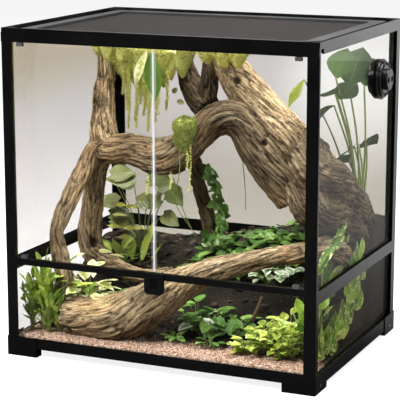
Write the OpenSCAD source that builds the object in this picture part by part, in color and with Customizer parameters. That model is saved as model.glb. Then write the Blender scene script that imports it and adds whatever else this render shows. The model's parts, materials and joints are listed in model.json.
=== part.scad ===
/* [Tank] */
// Outside width of the tank across its feet
tank_w = 610; // [560:10:700]
// Outside depth of the tank across its feet
tank_d = 457; // [430:1:520]
// Height from the table to the top rim
tank_h = 610; // [560:10:700]
// How far the frame stands back inside the line of the feet
frame_inset = 1.5; // [1:0.1:3]
// Wall of the moulded frame profiles
frame_wall = 3; // [2.5:0.1:3.5]
// Air between a pane and each side of its slot
pane_fit = 0.3; // [0.1:0.05:0.5]
// Air between two pieces that move past each other
moving_gap = 0.4; // [0.3:0.05:0.8]
// Radius of the outer edge of the posts
edge_r = 2.5; // [1:0.1:3]

/* [Glass] */
// Thickness of the fixed panes
pane_t = 4; // [3:0.5:5]
// Thickness of the floor pane
floor_t = 5; // [4:0.5:6]
// Thickness of the two door panes
door_t = 4; // [3:0.5:5]

/* [Frame heights] */
// Width of a post on the front, the back and the rear sides
post_face = 23; // [21:0.5:28]
// Depth of the front posts below the mid rail
front_post_side = 16; // [14:0.5:20]
// Depth of the front posts beside the doors
door_post_side = 8.5; // [7.5:0.1:10]
// Height of the feet
foot_h = 36; // [32:0.5:45]
// Length of a foot along the front
foot_len_x = 62; // [50:1:80]
// Length of a foot along the side
foot_len_y = 60; // [50:1:80]
// Bottom edge of the front and back base rails
base_low_front = 16; // [14:0.5:18]
// Bottom edge of the side base rails
base_low_side = 9; // [7:0.5:12]
// Top edge of the side base rails
base_high_side = 33; // [28:0.5:35]
// Height of the shelf that carries the floor pane
floor_z = 20; // [19:0.5:24]
// Bottom edge of the front mid rail
mid_low_front = 175; // [160:1:180]
// Bottom edge of the side and back mid rails
mid_low_side = 160; // [150:1:165]
// Top edge of the side and back mid rails
mid_high_side = 182; // [178:1:184]
// Seam between the lower and the upper posts, and top of the front mid rail
seam_z = 186.5; // [186:0.5:200]
// Height of the top rails on the front and back
top_drop_front = 25; // [22:0.5:30]
// Height of the top rails on the sides
top_drop_side = 21; // [20:0.5:25]

/* [Top] */
// Thickness of the raised rim round the top
rim_t = 3.5; // [3:0.1:4]
// Depth of the ledge below the rim
ledge_drop = 8; // [7.5:0.5:10]
// Distance from the outside of the tank to the inner edge of the ledge
ledge_in = 21; // [20:0.5:26]
// Width of the shelf that carries the screen cover
shelf_w = 6; // [4:0.5:10]
// Width of the border of the screen cover
screen_border = 24.5; // [20:0.5:30]
// Depth of the screen cover
screen_deep = 10; // [8:0.5:11]
// Distance from the rim down to the top of the screen cover
screen_drop = 4; // [3:0.5:6]
// Thickness of the wire mesh
mesh_t = 1; // [0.6:0.1:2]
// Openings of the mesh from left to right
mesh_nx = 12; // [6:1:12]
// Openings of the mesh from front to back
mesh_ny = 9; // [4:1:12]
// Width of the bars between the openings
mesh_bar = 4; // [2:0.5:8]
// Length of the corner gussets along each side
gusset_leg = 41; // [34:0.5:42]
// Length of the two clips that hold the screen cover
clip_len = 38; // [34:1:44]
// Width of a screen clip
clip_w = 9; // [7:0.5:10]
// Distance from the side of the tank to the pivot of a screen clip
clip_inset = 83; // [75:1:155]

/* [Doors] */
// Distance from the side of the tank to the axis of a door
door_axis_in = 39; // [38:0.5:45]
// How far the doors stand back from the outside of the tank
door_recess = 2.5; // [2:0.1:4]
// Air above and below the doors
door_air = 1.2; // [0.8:0.1:2]
// Radius of the steel door pins
hinge_pin_r = 2; // [1.5:0.1:2.2]
// Radial play of the door pins in the rails
pin_play = 0.06; // [0.02:0.01:0.1]
// Width of a hinge clip
hinge_w = 12; // [10:0.5:16]
// Height of a hinge clip
hinge_h = 6; // [5:0.5:12]
// Width of the clear strip between the doors
strip_w = 4; // [3:0.1:6]

/* [Latch] */
// Width of the latch housing
latch_w = 38; // [32:0.5:48]
// Distance that the latch housing hangs below the seam of the posts
latch_drop = 38; // [34:0.5:45]
// Distance that the latch housing stands out from the feet line
latch_out = 3; // [2.5:0.5:5]
// Width of the latch slider
slider_w = 18; // [14:0.5:22]
// Travel of the latch slider
latch_travel = 8; // [6:0.5:9]
// Radius of the lower corners of the latch housing
latch_r = 9; // [5:0.5:12]

/* [Cable inlets] */
// Distance from the side of the tank to the middle of an inlet
inlet_inset = 90; // [85:1:145]
// Length of an inlet guide
inlet_len = 80; // [70:1:90]
// Length of the slot that the cables pass through
inlet_slot = 26; // [20:1:28]

/* [Side port] */
// Depth of the port behind the middle of the tank
port_y = 122.5; // [60:0.5:140]
// Height of the port axis
port_z = 507; // [420:1:520]
// Radius of the outer flange of the port
port_r = 39; // [34:0.5:45]
// Radius of the port barrel that passes through the pane
barrel_r = 28; // [24:0.5:30]
// Distance that the port cap stands out from the feet line
port_out = 13; // [11:0.5:16]
// Radial play of the cap in the port barrel
cap_play = 0.1; // [0.05:0.01:0.1]

/* [Bedding and wood] */
// Height of the gravel along the front
gravel_z = 38; // [36:1:50]
// Rise of the soil towards the middle of the back
soil_rise = 150; // [100:1:160]
// Further rise of the soil in the rear right corner
corner_rise = 40; // [20:1:50]
// Gap between the bedding and the panes
bed_gap = 1; // [0.5:0.1:3]
// Thickness factor of the driftwood limbs
wood_scale = 1; // [0.8:0.01:1.02]

/* [Plants] */
// Thickness of a leaf
leaf_t = 1.4; // [1:0.1:2]
// Radius of a leaf stalk
stalk_r = 1.6; // [1:0.1:2.5]

/* [Hidden] */
$fn = 48;
eps = 0.5;

frame_color = "#131315";
glass_color = [0.85, 0.92, 0.9, 0.25];
wood_color = "#8a6a45";
leaf_color = "#5f7a35";
moss_color = "#7f8c2f";

// Distances below are measured inwards from the line of the feet
face_in = frame_inset + frame_wall;
slot_w = pane_t + 2 * pane_fit;
slot_end = face_in + slot_w;
lip_t = 2;
lip_end = slot_end + lip_t;
lip_reach = 4;
pane_in = face_in + pane_fit;
peg_r = 2.2;
peg_len = 12;
peg_fit = 0.1;
peg_a = frame_inset + 5;
peg_b = frame_inset + 3.6;

foot_skin = frame_inset - 0.1;

ledge_z = tank_h - ledge_drop;
ledge_t = 4;
screen_top = tank_h - screen_drop;
screen_low = screen_top - screen_deep;
shelf_top = screen_low - moving_gap;
shelf_low = shelf_top - 3;
screen_in = ledge_in + moving_gap;
screen_wall = 2.5;
screen_plate_t = 3;
screen_chamfer = 6;
mesh_top = screen_top - 5;
corner_block = post_face;

door_low = seam_z + door_air;
door_high = tank_h - top_drop_front - door_air;
door_axis_b = door_recess + door_t / 2;
door_side_air = 1;
pin_hole_r = hinge_pin_r + pin_play;
pin_hole_deep = frame_wall;

latch_wall = 1.6;
slider_t = 1.6;

port_barrel_fit = 0.5;
pane_outer_x = tank_w / 2 - pane_in;
pane_inner_x = pane_outer_x - pane_t;

room_x = tank_w / 2 - lip_end - bed_gap;
room_y = tank_d / 2 - lip_end - bed_gap;
bed_low = floor_z + floor_t;

// ---- placing ----

// The origin is under the middle of the whole outline, so the tank moves back by half of what stands out
module place() {
    translate([-port_out / 2, latch_out / 2, 0])
        children();
}

// Corner frame: +X and +Y point inwards from the outer corner at side sx, sy
module at_corner(sx, sy) {
    translate([sx * tank_w / 2, sy * tank_d / 2, 0])
        mirror([sx > 0 ? 1 : 0, 0, 0])
            mirror([0, sy > 0 ? 1 : 0, 0])
                children();
}

// Side frame: x runs along the side, y points inwards from the line of the feet, x = 0 in its middle
module at_side(name) {
    if (name == "front")
        translate([0, -tank_d / 2, 0]) children();
    if (name == "back")
        translate([0, tank_d / 2, 0]) mirror([0, 1, 0]) children();
    if (name == "left")
        translate([-tank_w / 2, 0, 0]) rotate([0, 0, -90]) children();
    if (name == "right")
        translate([tank_w / 2, 0, 0]) mirror([1, 0, 0]) rotate([0, 0, -90]) children();
}

// A rail profile drawn as (inwards, up) and run along x for a length
module along(length) {
    translate([-length / 2, 0, 0])
        rotate([90, 0, 90])
            linear_extrude(length)
                children();
}

module box(from, to) {
    translate(from)
        cube(to - from);
}

module rect(from, to) {
    translate(from)
        square(to - from);
}

// ---- corner posts ----

module outer_edge(r) {
    translate([frame_inset - 0.01, frame_inset - 0.01])
        difference() {
            square(r);
            translate([r, r]) circle(r);
        }
}

// Post with two slots for panes, as wide as face_a along x and face_b along y
module slotted_section(face_a, face_b) {
    difference() {
        union() {
            rect([frame_inset, frame_inset], [lip_end, lip_end]);
            rect([frame_inset, frame_inset], [face_a, face_in]);
            rect([frame_inset, frame_inset], [face_in, face_b]);
            rect([lip_end, slot_end], [lip_end + lip_reach, lip_end]);
            rect([slot_end, lip_end], [lip_end, lip_end + lip_reach]);
        }
        outer_edge(edge_r);
    }
}

// Front post beside a door: a flat bar, and a lip that holds the side pane
module door_post_section() {
    difference() {
        union() {
            rect([frame_inset, frame_inset], [post_face, door_post_side]);
            rect([slot_end, door_post_side - eps], [lip_end, door_post_side + lip_reach + 2]);
        }
        outer_edge(edge_r);
    }
}

module lower_post(sx, sy) {
    at_corner(sx, sy)
        difference() {
            union() {
                translate([0, 0, foot_h])
                    linear_extrude(seam_z - foot_h)
                        slotted_section(post_face, sy < 0 ? front_post_side : post_face);
                translate([peg_a, peg_b, seam_z - eps])
                    cylinder(r = peg_r, h = peg_len + eps);
            }
            translate([peg_a, peg_b, foot_h - eps])
                cylinder(r = peg_r + peg_fit, h = peg_len + 2 * eps);
        }
}

module upper_post(sx, sy) {
    at_corner(sx, sy)
        difference() {
            translate([0, 0, seam_z])
                linear_extrude(tank_h - top_drop_front - seam_z)
                    if (sy < 0) door_post_section();
                    else slotted_section(post_face, post_face);
            for (z = [seam_z - eps, tank_h - top_drop_front - peg_len - eps])
                translate([peg_a, peg_b, z])
                    cylinder(r = peg_r + peg_fit, h = peg_len + 2 * eps);
        }
}

// ---- feet and base rails ----

screw_head_r = 2.6;
screw_shank_r = 1.4;
screw_len = 9;
screw_air = 0.1;
foot_screw_in = 28;
foot_screw_z = 12.6;

foot_edge_r = 3;
foot_arm = lip_end + 8;
foot_rim = 6;
rail_air = 0.2;

module foot_outline(len_x, len_y, arm) {
    difference() {
        square([len_x, len_y]);
        translate([arm, arm]) square([len_x, len_y]);
    }
}

// Skin round the ends of the base rails, a plate below them and a block that takes the post
module corner_foot(sx, sy) {
    at_corner(sx, sy)
        difference() {
            union() {
                // the side rail hangs lower than the front rail, so its part of the plate is lower
                linear_extrude(base_low_side - rail_air)
                    foot_outline(foot_len_x, foot_len_y, foot_arm);
                linear_extrude(base_low_front - rail_air) {
                    square([foot_len_x, foot_arm]);
                    rect([face_in + rail_air, 0], [foot_arm, foot_len_y]);
                }
                linear_extrude(foot_h)
                    foot_outline(foot_len_x, foot_len_y, foot_skin);
                linear_extrude(floor_z)
                    square([post_face, post_face]);
                linear_extrude(foot_h) {
                    slotted_section(post_face, post_face);
                    foot_outline(post_face, post_face, face_in);
                }
                translate([peg_a, peg_b, foot_h - eps])
                    cylinder(r = peg_r, h = peg_len + eps);
            }
            // round outer corner
            translate([-0.01, -0.01, -eps])
                linear_extrude(foot_h + 2 * eps)
                    difference() {
                        square(foot_edge_r);
                        translate([foot_edge_r, foot_edge_r]) circle(foot_edge_r);
                    }
            // hole of the side screw
            translate([-eps, foot_screw_in, foot_screw_z]) rotate([0, 90, 0]) {
                cylinder(r = screw_head_r + screw_air, h = foot_skin + 2 * eps);
                cylinder(r = screw_shank_r + screw_air, h = screw_len + 2 * eps);
            }
            // hollow under the foot
            translate([foot_rim, foot_rim, -eps])
                linear_extrude(foot_rim)
                    foot_outline(foot_len_x - 2 * foot_rim, foot_len_y - 2 * foot_rim,
                                 foot_arm - 2 * foot_rim);
        }
}

module base_section(low, high) {
    rect([frame_inset, low], [face_in, high]);
    rect([frame_inset, base_low_front], [foot_arm, floor_z]);
    rect([slot_end, floor_z - eps], [lip_end, floor_z + 10]);
}

module base_rail(name, span, low, high) {
    at_side(name)
        difference() {
            along(span - 2 * post_face)
                base_section(low, high);
            if (name == "left" || name == "right")
                for (s = [-1, 1])
                    translate([s * (span / 2 - foot_screw_in), 0, foot_screw_z])
                        rotate([-90, 0, 0])
                            cylinder(r = screw_shank_r + screw_air, h = face_in + 1);
        }
}

// ---- mid rails ----

module mid_section_front() {
    difference() {
        rect([frame_inset, mid_low_front], [lip_end, seam_z]);
        rect([face_in, mid_low_front - eps], [slot_end, seam_z - 5]);
    }
}

module mid_section_side() {
    difference() {
        rect([frame_inset, mid_low_side], [lip_end, mid_high_side]);
        rect([face_in, mid_low_side - eps], [slot_end, mid_low_side + 6]);
        rect([face_in, mid_high_side - 6], [slot_end, mid_high_side + eps]);
    }
}

door_axis_x = tank_w / 2 - door_axis_in;

module mid_rail_front_shape() {
    difference() {
        at_side("front")
            along(tank_w - 2 * post_face)
                mid_section_front();
        for (s = [-1, 1])
            translate([s * door_axis_x, -tank_d / 2 + door_axis_b, seam_z - pin_hole_deep])
                cylinder(r = pin_hole_r, h = pin_hole_deep + eps);
    }
}

module mid_rail_side(name) {
    // the front end reaches the shallower front post
    length = tank_d - front_post_side - post_face;
    shift = (post_face - front_post_side) / 2;
    translate([0, -shift, 0])
        at_side(name)
            along(length)
                mid_section_side();
}

// ---- top rails and corners ----

// Moulded section: rim, ledge, slot for the pane and shelf for the screen cover
module top_section(low, closed) {
    difference() {
        union() {
            rect([frame_inset, low], [frame_inset + rim_t, tank_h]);
            rect([frame_inset, ledge_z - ledge_t], [ledge_in, ledge_z]);
            rect([frame_inset, low], [lip_end, ledge_z]);
            rect([ledge_in - 2, shelf_low], [ledge_in, ledge_z]);
            rect([ledge_in - 2, shelf_low], [ledge_in + shelf_w, shelf_top]);
        }
        rect([face_in, closed ? low + frame_wall : low - eps], [slot_end, ledge_z - ledge_t]);
    }
}

clip_x = tank_w / 2 - clip_inset;

module top_rail_front_shape() {
    difference() {
        at_side("front")
            along(tank_w - 2 * corner_block)
                top_section(tank_h - top_drop_front, true);
        for (s = [-1, 1]) {
            translate([s * door_axis_x, -tank_d / 2 + door_axis_b, tank_h - top_drop_front - eps])
                cylinder(r = pin_hole_r, h = pin_hole_deep + eps);
            translate([s * clip_x, -tank_d / 2 + clip_b, ledge_z - ledge_t - eps])
                cylinder(r = clip_hole_r, h = ledge_t + 2 * eps);
        }
    }
}

guide_wall = 2;
guide_in = frame_inset + rim_t;
inlet_x = tank_w / 2 - inlet_inset;
inlet_slot_w = ledge_in - guide_in - 2 * guide_wall - 3;
inlet_mid_b = (guide_in + ledge_in) / 2;

// Back rail: a slot through the ledge at each end, between two raised guides
module top_rail_back_shape() {
    at_side("back")
        difference() {
            union() {
                along(tank_w - 2 * corner_block)
                    top_section(tank_h - top_drop_front, false);
                for (s = [-1, 1])
                    translate([s * inlet_x, 0, 0]) {
                        box([-inlet_len / 2, guide_in - eps, ledge_z - eps],
                            [inlet_len / 2, guide_in + guide_wall, tank_h]);
                        box([-inlet_len / 2, ledge_in - guide_wall, ledge_z - eps],
                            [inlet_len / 2, ledge_in, tank_h]);
                    }
            }
            for (s = [-1, 1])
                translate([s * (inlet_x + inlet_len / 2 - inlet_slot / 2 - 4), 0, 0])
                    box([-inlet_slot / 2, inlet_mid_b - inlet_slot_w / 2, tank_h - top_drop_front - eps],
                        [inlet_slot / 2, inlet_mid_b + inlet_slot_w / 2, ledge_z + eps]);
        }
}

module top_rail_side(name) {
    at_side(name)
        difference() {
            along(tank_d - 2 * corner_block)
                top_section(tank_h - top_drop_side, false);
            // the shelves of the front and back rails run past the ends of this one
            for (s = [-1, 1])
                translate([s * tank_d / 2, 0, 0])
                    box([-ledge_in - shelf_w, ledge_in - 2 - eps, shelf_low - eps],
                        [ledge_in + shelf_w, ledge_in + shelf_w + eps, shelf_top + eps]);
        }
}

module top_corner(sx, sy) {
    low = tank_h - top_drop_front;
    at_corner(sx, sy)
        difference() {
            union() {
                translate([0, 0, low])
                    linear_extrude(ledge_z - low)
                        if (sy < 0) union() {
                            door_post_section();
                            rect([post_face - 3, frame_inset], [corner_block, face_in]);
                            rect([frame_inset, frame_inset], [corner_block, door_post_side]);
                        }
                        else slotted_section(corner_block, corner_block);
                translate([0, 0, ledge_z - ledge_t])
                    linear_extrude(ledge_t)
                        difference() {
                            rect([frame_inset, frame_inset], [corner_block, corner_block]);
                            outer_edge(edge_r);
                        }
                // gusset, as high as the rim
                translate([0, 0, ledge_z])
                    linear_extrude(ledge_drop)
                        polygon([
                            [guide_in, guide_in], [gusset_leg - guide_in, guide_in],
                            [guide_in, gusset_leg - guide_in]
                        ]);
                translate([0, 0, ledge_z - eps])
                    linear_extrude(ledge_drop + eps)
                        difference() {
                            rect([frame_inset, frame_inset], [corner_block, corner_block]);
                            rect([guide_in, guide_in], [corner_block + 1, corner_block + 1]);
                            outer_edge(edge_r);
                        }
                // peg into the post
                translate([peg_a, peg_b, low - peg_len])
                    cylinder(r = peg_r, h = peg_len + eps);
            }
            // recess and hole of the top screw
            translate([gusset_screw, gusset_screw, tank_h - 2.2])
                cylinder(r = screw_head_r + screw_air, h = 3);
            translate([gusset_screw, gusset_screw, tank_h - screw_len - 3])
                cylinder(r = screw_shank_r + screw_air, h = screw_len + 3);
        }
}

gusset_screw = 13;

// ---- glass ----

module floor_pane_shape() {
    inset = lip_end + 0.5;
    box([-tank_w / 2 + inset, -tank_d / 2 + inset, floor_z],
        [tank_w / 2 - inset, tank_d / 2 - inset, floor_z + floor_t]);
}

// Pane in the slots of one side, from z0 to z1, held at both ends by the posts
module pane(name, span, z0, z1) {
    end = lip_end + pane_fit;
    at_side(name)
        box([-span / 2 + end, pane_in, z0], [span / 2 - end, pane_in + pane_t, z1]);
}

module side_pane(name) {
    front_end = door_post_side + pane_fit;
    back_end = lip_end + pane_fit;
    sx = name == "left" ? -1 : 1;
    translate([sx * (pane_outer_x - pane_t / 2), 0, 0])
        difference() {
            box([-pane_t / 2, -tank_d / 2 + front_end, mid_high_side - 6 + pane_fit],
                [pane_t / 2, tank_d / 2 - back_end, ledge_z - ledge_t - pane_fit]);
            // notch over the top of the lower front post
            box([-pane_t, -tank_d / 2, 0], [pane_t, -tank_d / 2 + back_end, seam_z + pane_fit]);
        }
}

door_outer = post_face + door_side_air;
door_inner = strip_w / 2 + pane_fit;

module door_pane(sx) {
    mirror([sx > 0 ? 1 : 0, 0, 0])
        translate([0, -tank_d / 2, 0])
            box([-tank_w / 2 + door_outer, door_recess, door_low],
                [-door_inner, door_recess + door_t, door_high]);
}

// Top and bottom clips of one door, each with its pin
module door_hinges(sx) {
    translate([sx * door_axis_x, -tank_d / 2 + door_axis_b, 0])
        for (end = [0, 1])
            translate([0, 0, end == 0 ? door_low : door_high])
                mirror([0, 0, end == 0 ? 0 : 1])
                    union() {
                        difference() {
                            box([-hinge_w / 2, -door_t / 2 - 1, -0.6],
                                [hinge_w / 2, door_t / 2 + 1.6, hinge_h]);
                            box([-hinge_w, -door_t / 2, 0], [hinge_w, door_t / 2, hinge_h + 1]);
                        }
                        translate([0, 0, -door_air - pin_hole_deep + moving_gap])
                            cylinder(r = hinge_pin_r, h = door_air + pin_hole_deep - moving_gap - 0.3);
                    }
}

// Clear strip on the inner edge of the left door, with a fin behind the right one
module door_seam_strip_shape() {
    z0 = door_low + 2;
    z1 = door_high - 2;
    translate([0, -tank_d / 2 + door_recess, 0]) {
        box([-door_inner, 0, z0], [strip_w / 2, door_t, z1]);
        box([-door_inner - 6, door_t, z0], [strip_w / 2, door_t + 1, z1]);
    }
}

// ---- latch ----

latch_low = seam_z - latch_drop;
slider_low = latch_low + 7;
slider_high = seam_z - 1.5;
thumb_w = slider_w - 6;
thumb_rib = 1.2;
thumb_ribs = 4;
window_low = latch_low + 12;
window_high = window_low + 2 * moving_gap + (2 * thumb_ribs - 1) * thumb_rib + latch_travel;

// Cover with round lower corners, in front of the mid rail and the lower pane
module latch_housing_shape() {
    front = -latch_out;
    back = frame_inset;
    at_side("front")
        difference() {
            translate([0, back, 0])
                rotate([90, 0, 0])
                    linear_extrude(back - front)
                        union() {
                            rect([-latch_w / 2, latch_low + latch_r], [latch_w / 2, seam_z]);
                            rect([-latch_w / 2 + latch_r, latch_low], [latch_w / 2 - latch_r, seam_z]);
                            for (s = [-1, 1])
                                translate([s * (latch_w / 2 - latch_r), latch_low + latch_r])
                                    circle(latch_r);
                        }
            // channel of the slider, open at the top and at the back
            box([-slider_w / 2 - moving_gap, front + latch_wall, slider_low - moving_gap],
                [slider_w / 2 + moving_gap, back + eps, seam_z + eps]);
            // window of the thumb piece
            box([-thumb_w / 2 - moving_gap, front - eps, window_low],
                [thumb_w / 2 + moving_gap, front + latch_wall + eps, window_high]);
        }
}

module latch_slider_shape() {
    front = -latch_out + latch_wall + moving_gap;
    at_side("front") {
        box([-slider_w / 2, front, slider_low], [slider_w / 2, front + slider_t, slider_high]);
        for (i = [0:thumb_ribs - 1])
            translate([0, 0, window_low + moving_gap + 2 * i * thumb_rib])
                box([-thumb_w / 2, -latch_out, 0], [thumb_w / 2, front + eps, thumb_rib]);
        box([-thumb_w / 2, -latch_out + 0.6, window_low + moving_gap],
            [thumb_w / 2, front + eps, window_low + moving_gap + (2 * thumb_ribs - 1) * thumb_rib]);
    }
}

// ---- screen cover ----

module chamfered(w, d, c) {
    polygon([
        [-w / 2 + c, -d / 2], [w / 2 - c, -d / 2], [w / 2, -d / 2 + c], [w / 2, d / 2 - c],
        [w / 2 - c, d / 2], [-w / 2 + c, d / 2], [-w / 2, d / 2 - c], [-w / 2, -d / 2 + c]
    ]);
}

// Ring between two outlines that stand inset_a and inset_b inside the line of the feet
module screen_ring(inset_a, inset_b) {
    difference() {
        chamfered(tank_w - 2 * inset_a, tank_d - 2 * inset_a, screen_chamfer);
        chamfered(tank_w - 2 * inset_b, tank_d - 2 * inset_b, screen_chamfer);
    }
}

screen_inner = screen_in + screen_border;

module screen_frame_shape() {
    difference() {
        union() {
            translate([0, 0, screen_top - screen_plate_t])
                linear_extrude(screen_plate_t)
                    screen_ring(screen_in, screen_inner);
            translate([0, 0, screen_low])
                linear_extrude(screen_deep - eps)
                    screen_ring(screen_in, screen_in + screen_wall);
            translate([0, 0, mesh_top])
                linear_extrude(screen_top - mesh_top - eps)
                    screen_ring(screen_inner - screen_wall, screen_inner);
        }
        for (sx = [-1, 1], sy = [-1, 1])
            translate([
                sx * (tank_w / 2 - screen_in - screen_border / 2),
                sy * (tank_d / 2 - screen_in - screen_border / 2), screen_top - screen_plate_t - eps
            ])
                cylinder(r = 1.8, h = screen_plate_t + 2 * eps);
    }
}

// Sheet of the cover, open between the bars of a plain grid
module screen_mesh_shape() {
    inset = screen_inner - screen_wall;
    grid_w = tank_w - 2 * screen_inner;
    grid_d = tank_d - 2 * screen_inner;
    step_x = grid_w / mesh_nx;
    step_y = grid_d / mesh_ny;
    translate([0, 0, mesh_top - mesh_t])
        linear_extrude(mesh_t)
            difference() {
                chamfered(tank_w - 2 * inset, tank_d - 2 * inset, screen_chamfer);
                for (i = [0:mesh_nx - 1], j = [0:mesh_ny - 1])
                    translate([(i + 0.5) * step_x - grid_w / 2, (j + 0.5) * step_y - grid_d / 2])
                        square([step_x - mesh_bar, step_y - mesh_bar], center = true);
            }
}

clip_t = 2.4;
clip_corner = clip_w / 4;
clip_b = guide_in + moving_gap + clip_w / 2 + 1;
clip_pin_r = 2;
clip_hole_r = clip_pin_r + 0.1;
clip_z = screen_top + moving_gap;

// Clip that turns over the edge of the screen cover about its screw
module screen_clip(s) {
    reach = clip_len - clip_w / 2;
    translate([s * clip_x, -tank_d / 2 + clip_b, 0])
        mirror([s > 0 ? 1 : 0, 0, 0])
            difference() {
                union() {
                    translate([0, 0, clip_z])
                        linear_extrude(clip_t)
                            polygon([
                                [-clip_w / 2, -clip_corner], [-clip_corner, -clip_w / 2],
                                [reach - clip_corner, -clip_w / 2], [reach, -clip_corner],
                                [reach, clip_corner], [reach - clip_corner, clip_w / 2],
                                [-clip_corner, clip_w / 2], [-clip_w / 2, clip_corner]
                            ]);
                    translate([0, 0, ledge_z + 0.3])
                        cylinder(r = clip_w / 2 - 0.5, h = clip_z - ledge_z);
                    translate([0, 0, ledge_z - ledge_t])
                        cylinder(r = clip_pin_r, h = ledge_t + 1);
                }
                translate([0, 0, clip_z + clip_t - 1])
                    cylinder(r = 2.2, h = 2);
            }
}

// Plate that closes one cable inlet, with a ribbed thumb piece
module cable_slider(s) {
    plate_w = ledge_in - guide_in - 2 * guide_wall - 2 * moving_gap;
    plate_len = inlet_slot + 10;
    mid = inlet_x + inlet_len / 2 - inlet_slot / 2 - 4;
    at_side("back")
        mirror([s > 0 ? 0 : 1, 0, 0])
            translate([mid, inlet_mid_b, ledge_z + 0.3]) {
                box([-plate_len / 2, -plate_w / 2, 0], [plate_len / 2 - 4, plate_w / 2, 2.4]);
                for (i = [0:3])
                    translate([-plate_len / 2 + 1.5 + 3 * i, 0, 0])
                        box([0, -plate_w / 2 + 1, 2.3], [1.5, plate_w / 2 - 1, 6.4]);
            }
}

// ---- side port ----

// Profile drawn as (radius, distance outwards along the axis) and turned about the port axis
module port_turn(x) {
    translate([x, port_y, port_z])
        rotate([0, 90, 0])
            rotate_extrude($fn = 96)
                children();
}

port_seat = 0.05;
flange_low = pane_outer_x + port_seat - tank_w / 2;
nut_low = pane_inner_x - port_seat - tank_w / 2;
barrel_in = 14;
barrel_wall = 3;

module port_flange_shape() {
    port_turn(tank_w / 2)
        union() {
            // barrel
            rect([barrel_r - barrel_wall, nut_low - barrel_in], [barrel_r, flange_low + 2]);
            // stepped and rounded flange
            rect([barrel_r - barrel_wall, flange_low], [port_r - 3, flange_low + 4]);
            translate([port_r - 3, flange_low + 2]) circle(2, $fn = 32);
            rect([port_r - 9, flange_low + 3.5], [port_r - 5, flange_low + 7]);
            translate([port_r - 7, flange_low + 7]) circle(2, $fn = 32);
            rect([barrel_r - barrel_wall, flange_low + 3.5], [barrel_r - 0.5, flange_low + 6]);
        }
}

module port_nut_shape() {
    difference() {
        port_turn(tank_w / 2)
            union() {
                rect([barrel_r + port_barrel_fit, nut_low - 5], [port_r - 2, nut_low]);
                rect([barrel_r + port_barrel_fit, nut_low - 9], [barrel_r + 5, nut_low - 4]);
            }
        for (i = [0:11])
            translate([tank_w / 2 + nut_low - 5.5, port_y, port_z])
                rotate([30 * i, 0, 0])
                    translate([-eps, port_r - 2, -2.5])
                        cube([3.5, 3, 5]);
    }
}

// Cap that turns in the barrel, with a raised hub, a grip bar and a collar
module port_cap_shape() {
    cap_r = barrel_r - barrel_wall - cap_play;
    front = port_out;
    difference() {
        union() {
            port_turn(tank_w / 2)
                union() {
                    rect([0, flange_low - 4], [cap_r, flange_low + 7.5]);
                    rect([0, flange_low + 7], [cap_r + 1.5, flange_low + 9]);
                    rect([0, flange_low + 8], [cap_r - 5, front - 2]);
                    translate([0, front - 2.5]) square([cap_r - 7, 2.5]);
                    translate([cap_r - 7, front - 2]) intersection() {
                        circle(2, $fn = 32);
                        square(3);
                    }
                }
        }
        // finger recesses on both sides of the grip bar
        for (s = [-1, 1])
            translate([tank_w / 2 + front - 5, port_y + s * 10.5, port_z])
                rotate([0, 90, 0])
                    cylinder(r = 6, h = 8);
    }
}

// ---- screws ----

module screw() {
    union() {
        difference() {
            cylinder(r = screw_head_r, h = 1.3);
            for (a = [0, 90])
                rotate([0, 0, a])
                    translate([-1.6, -0.3, -eps])
                        cube([3.2, 0.6, eps + 0.6]);
        }
        cylinder(r = screw_shank_r, h = screw_len - 1);
    }
}

module frame_screws_shape() {
    for (sx = [-1, 1], sy = [-1, 1])
        at_corner(sx, sy) {
            translate([0.05, foot_screw_in, foot_screw_z])
                rotate([0, 90, 0])
                    screw();
            translate([gusset_screw, gusset_screw, tank_h - 0.8])
                rotate([180, 0, 0])
                    screw();
        }
}

// ---- bedding ----

function ease(t) = let (c = min(1, max(0, t))) c * c * (3 - 2 * c);

// The planting was laid out in a tank of 610 x 457 mm, 610 mm high, and follows the real tank
grow_x = tank_w / 610;
grow_y = tank_d / 457;
grow = tank_h / 610;

function spot(p) = [p[0] * grow_x, p[1] * grow_y, p[2] * grow];

// Height of the bedding at a point of the floor
function bed_height(x, y) =
    let (u = x / grow_x, v = y / grow_y)
    gravel_z
    + soil_rise * ease((v + 110) / 260) * (0.75 + 0.25 * ease((u + 150) / 250))
    + corner_rise * ease((v + 170) / 260) * ease((u - 40) / 230)
    + 2.5 * sin(3 * u + 40) * sin(4 * v) * ease((v + 210) / 60);

bed_nx = 20;
bed_ny = 16;

function bed_point(i, j, top) =
    let (x = -room_x + 2 * room_x * i / bed_nx, y = -room_y + 2 * room_y * j / bed_ny)
    [x, y, top ? bed_height(x, y) : bed_low];

// Closed solid between the floor pane and the surface of the soil
module bedding_shape() {
    nx = bed_nx + 1;
    ny = bed_ny + 1;
    top = [for (j = [0:bed_ny], i = [0:bed_nx]) bed_point(i, j, true)];
    rim = concat(
        [for (i = [0:bed_nx - 1]) [i, 0]], [for (j = [0:bed_ny - 1]) [bed_nx, j]],
        [for (i = [bed_nx:-1:1]) [i, bed_ny]], [for (j = [bed_ny:-1:1]) [0, j]]
    );
    low = [for (r = rim) bed_point(r[0], r[1], false)];
    n = len(rim);
    base = nx * ny;
    polyhedron(
        points = concat(top, low, [[0, 0, bed_low]]),
        faces = concat(
            [for (j = [0:bed_ny - 1], i = [0:bed_nx - 1]) each [
                [j * nx + i, (j + 1) * nx + i + 1, j * nx + i + 1],
                [j * nx + i, (j + 1) * nx + i, (j + 1) * nx + i + 1]
            ]],
            [for (k = [0:n - 1]) let (a = rim[k], b = rim[(k + 1) % n]) each [
                [a[1] * nx + a[0], b[1] * nx + b[0], base + (k + 1) % n],
                [a[1] * nx + a[0], base + (k + 1) % n, base + k]
            ]],
            [for (k = [0:n - 1]) [base + k, base + (k + 1) % n, base + n]]
        ),
        convexity = 6
    );
}

// ---- planting ----

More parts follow.
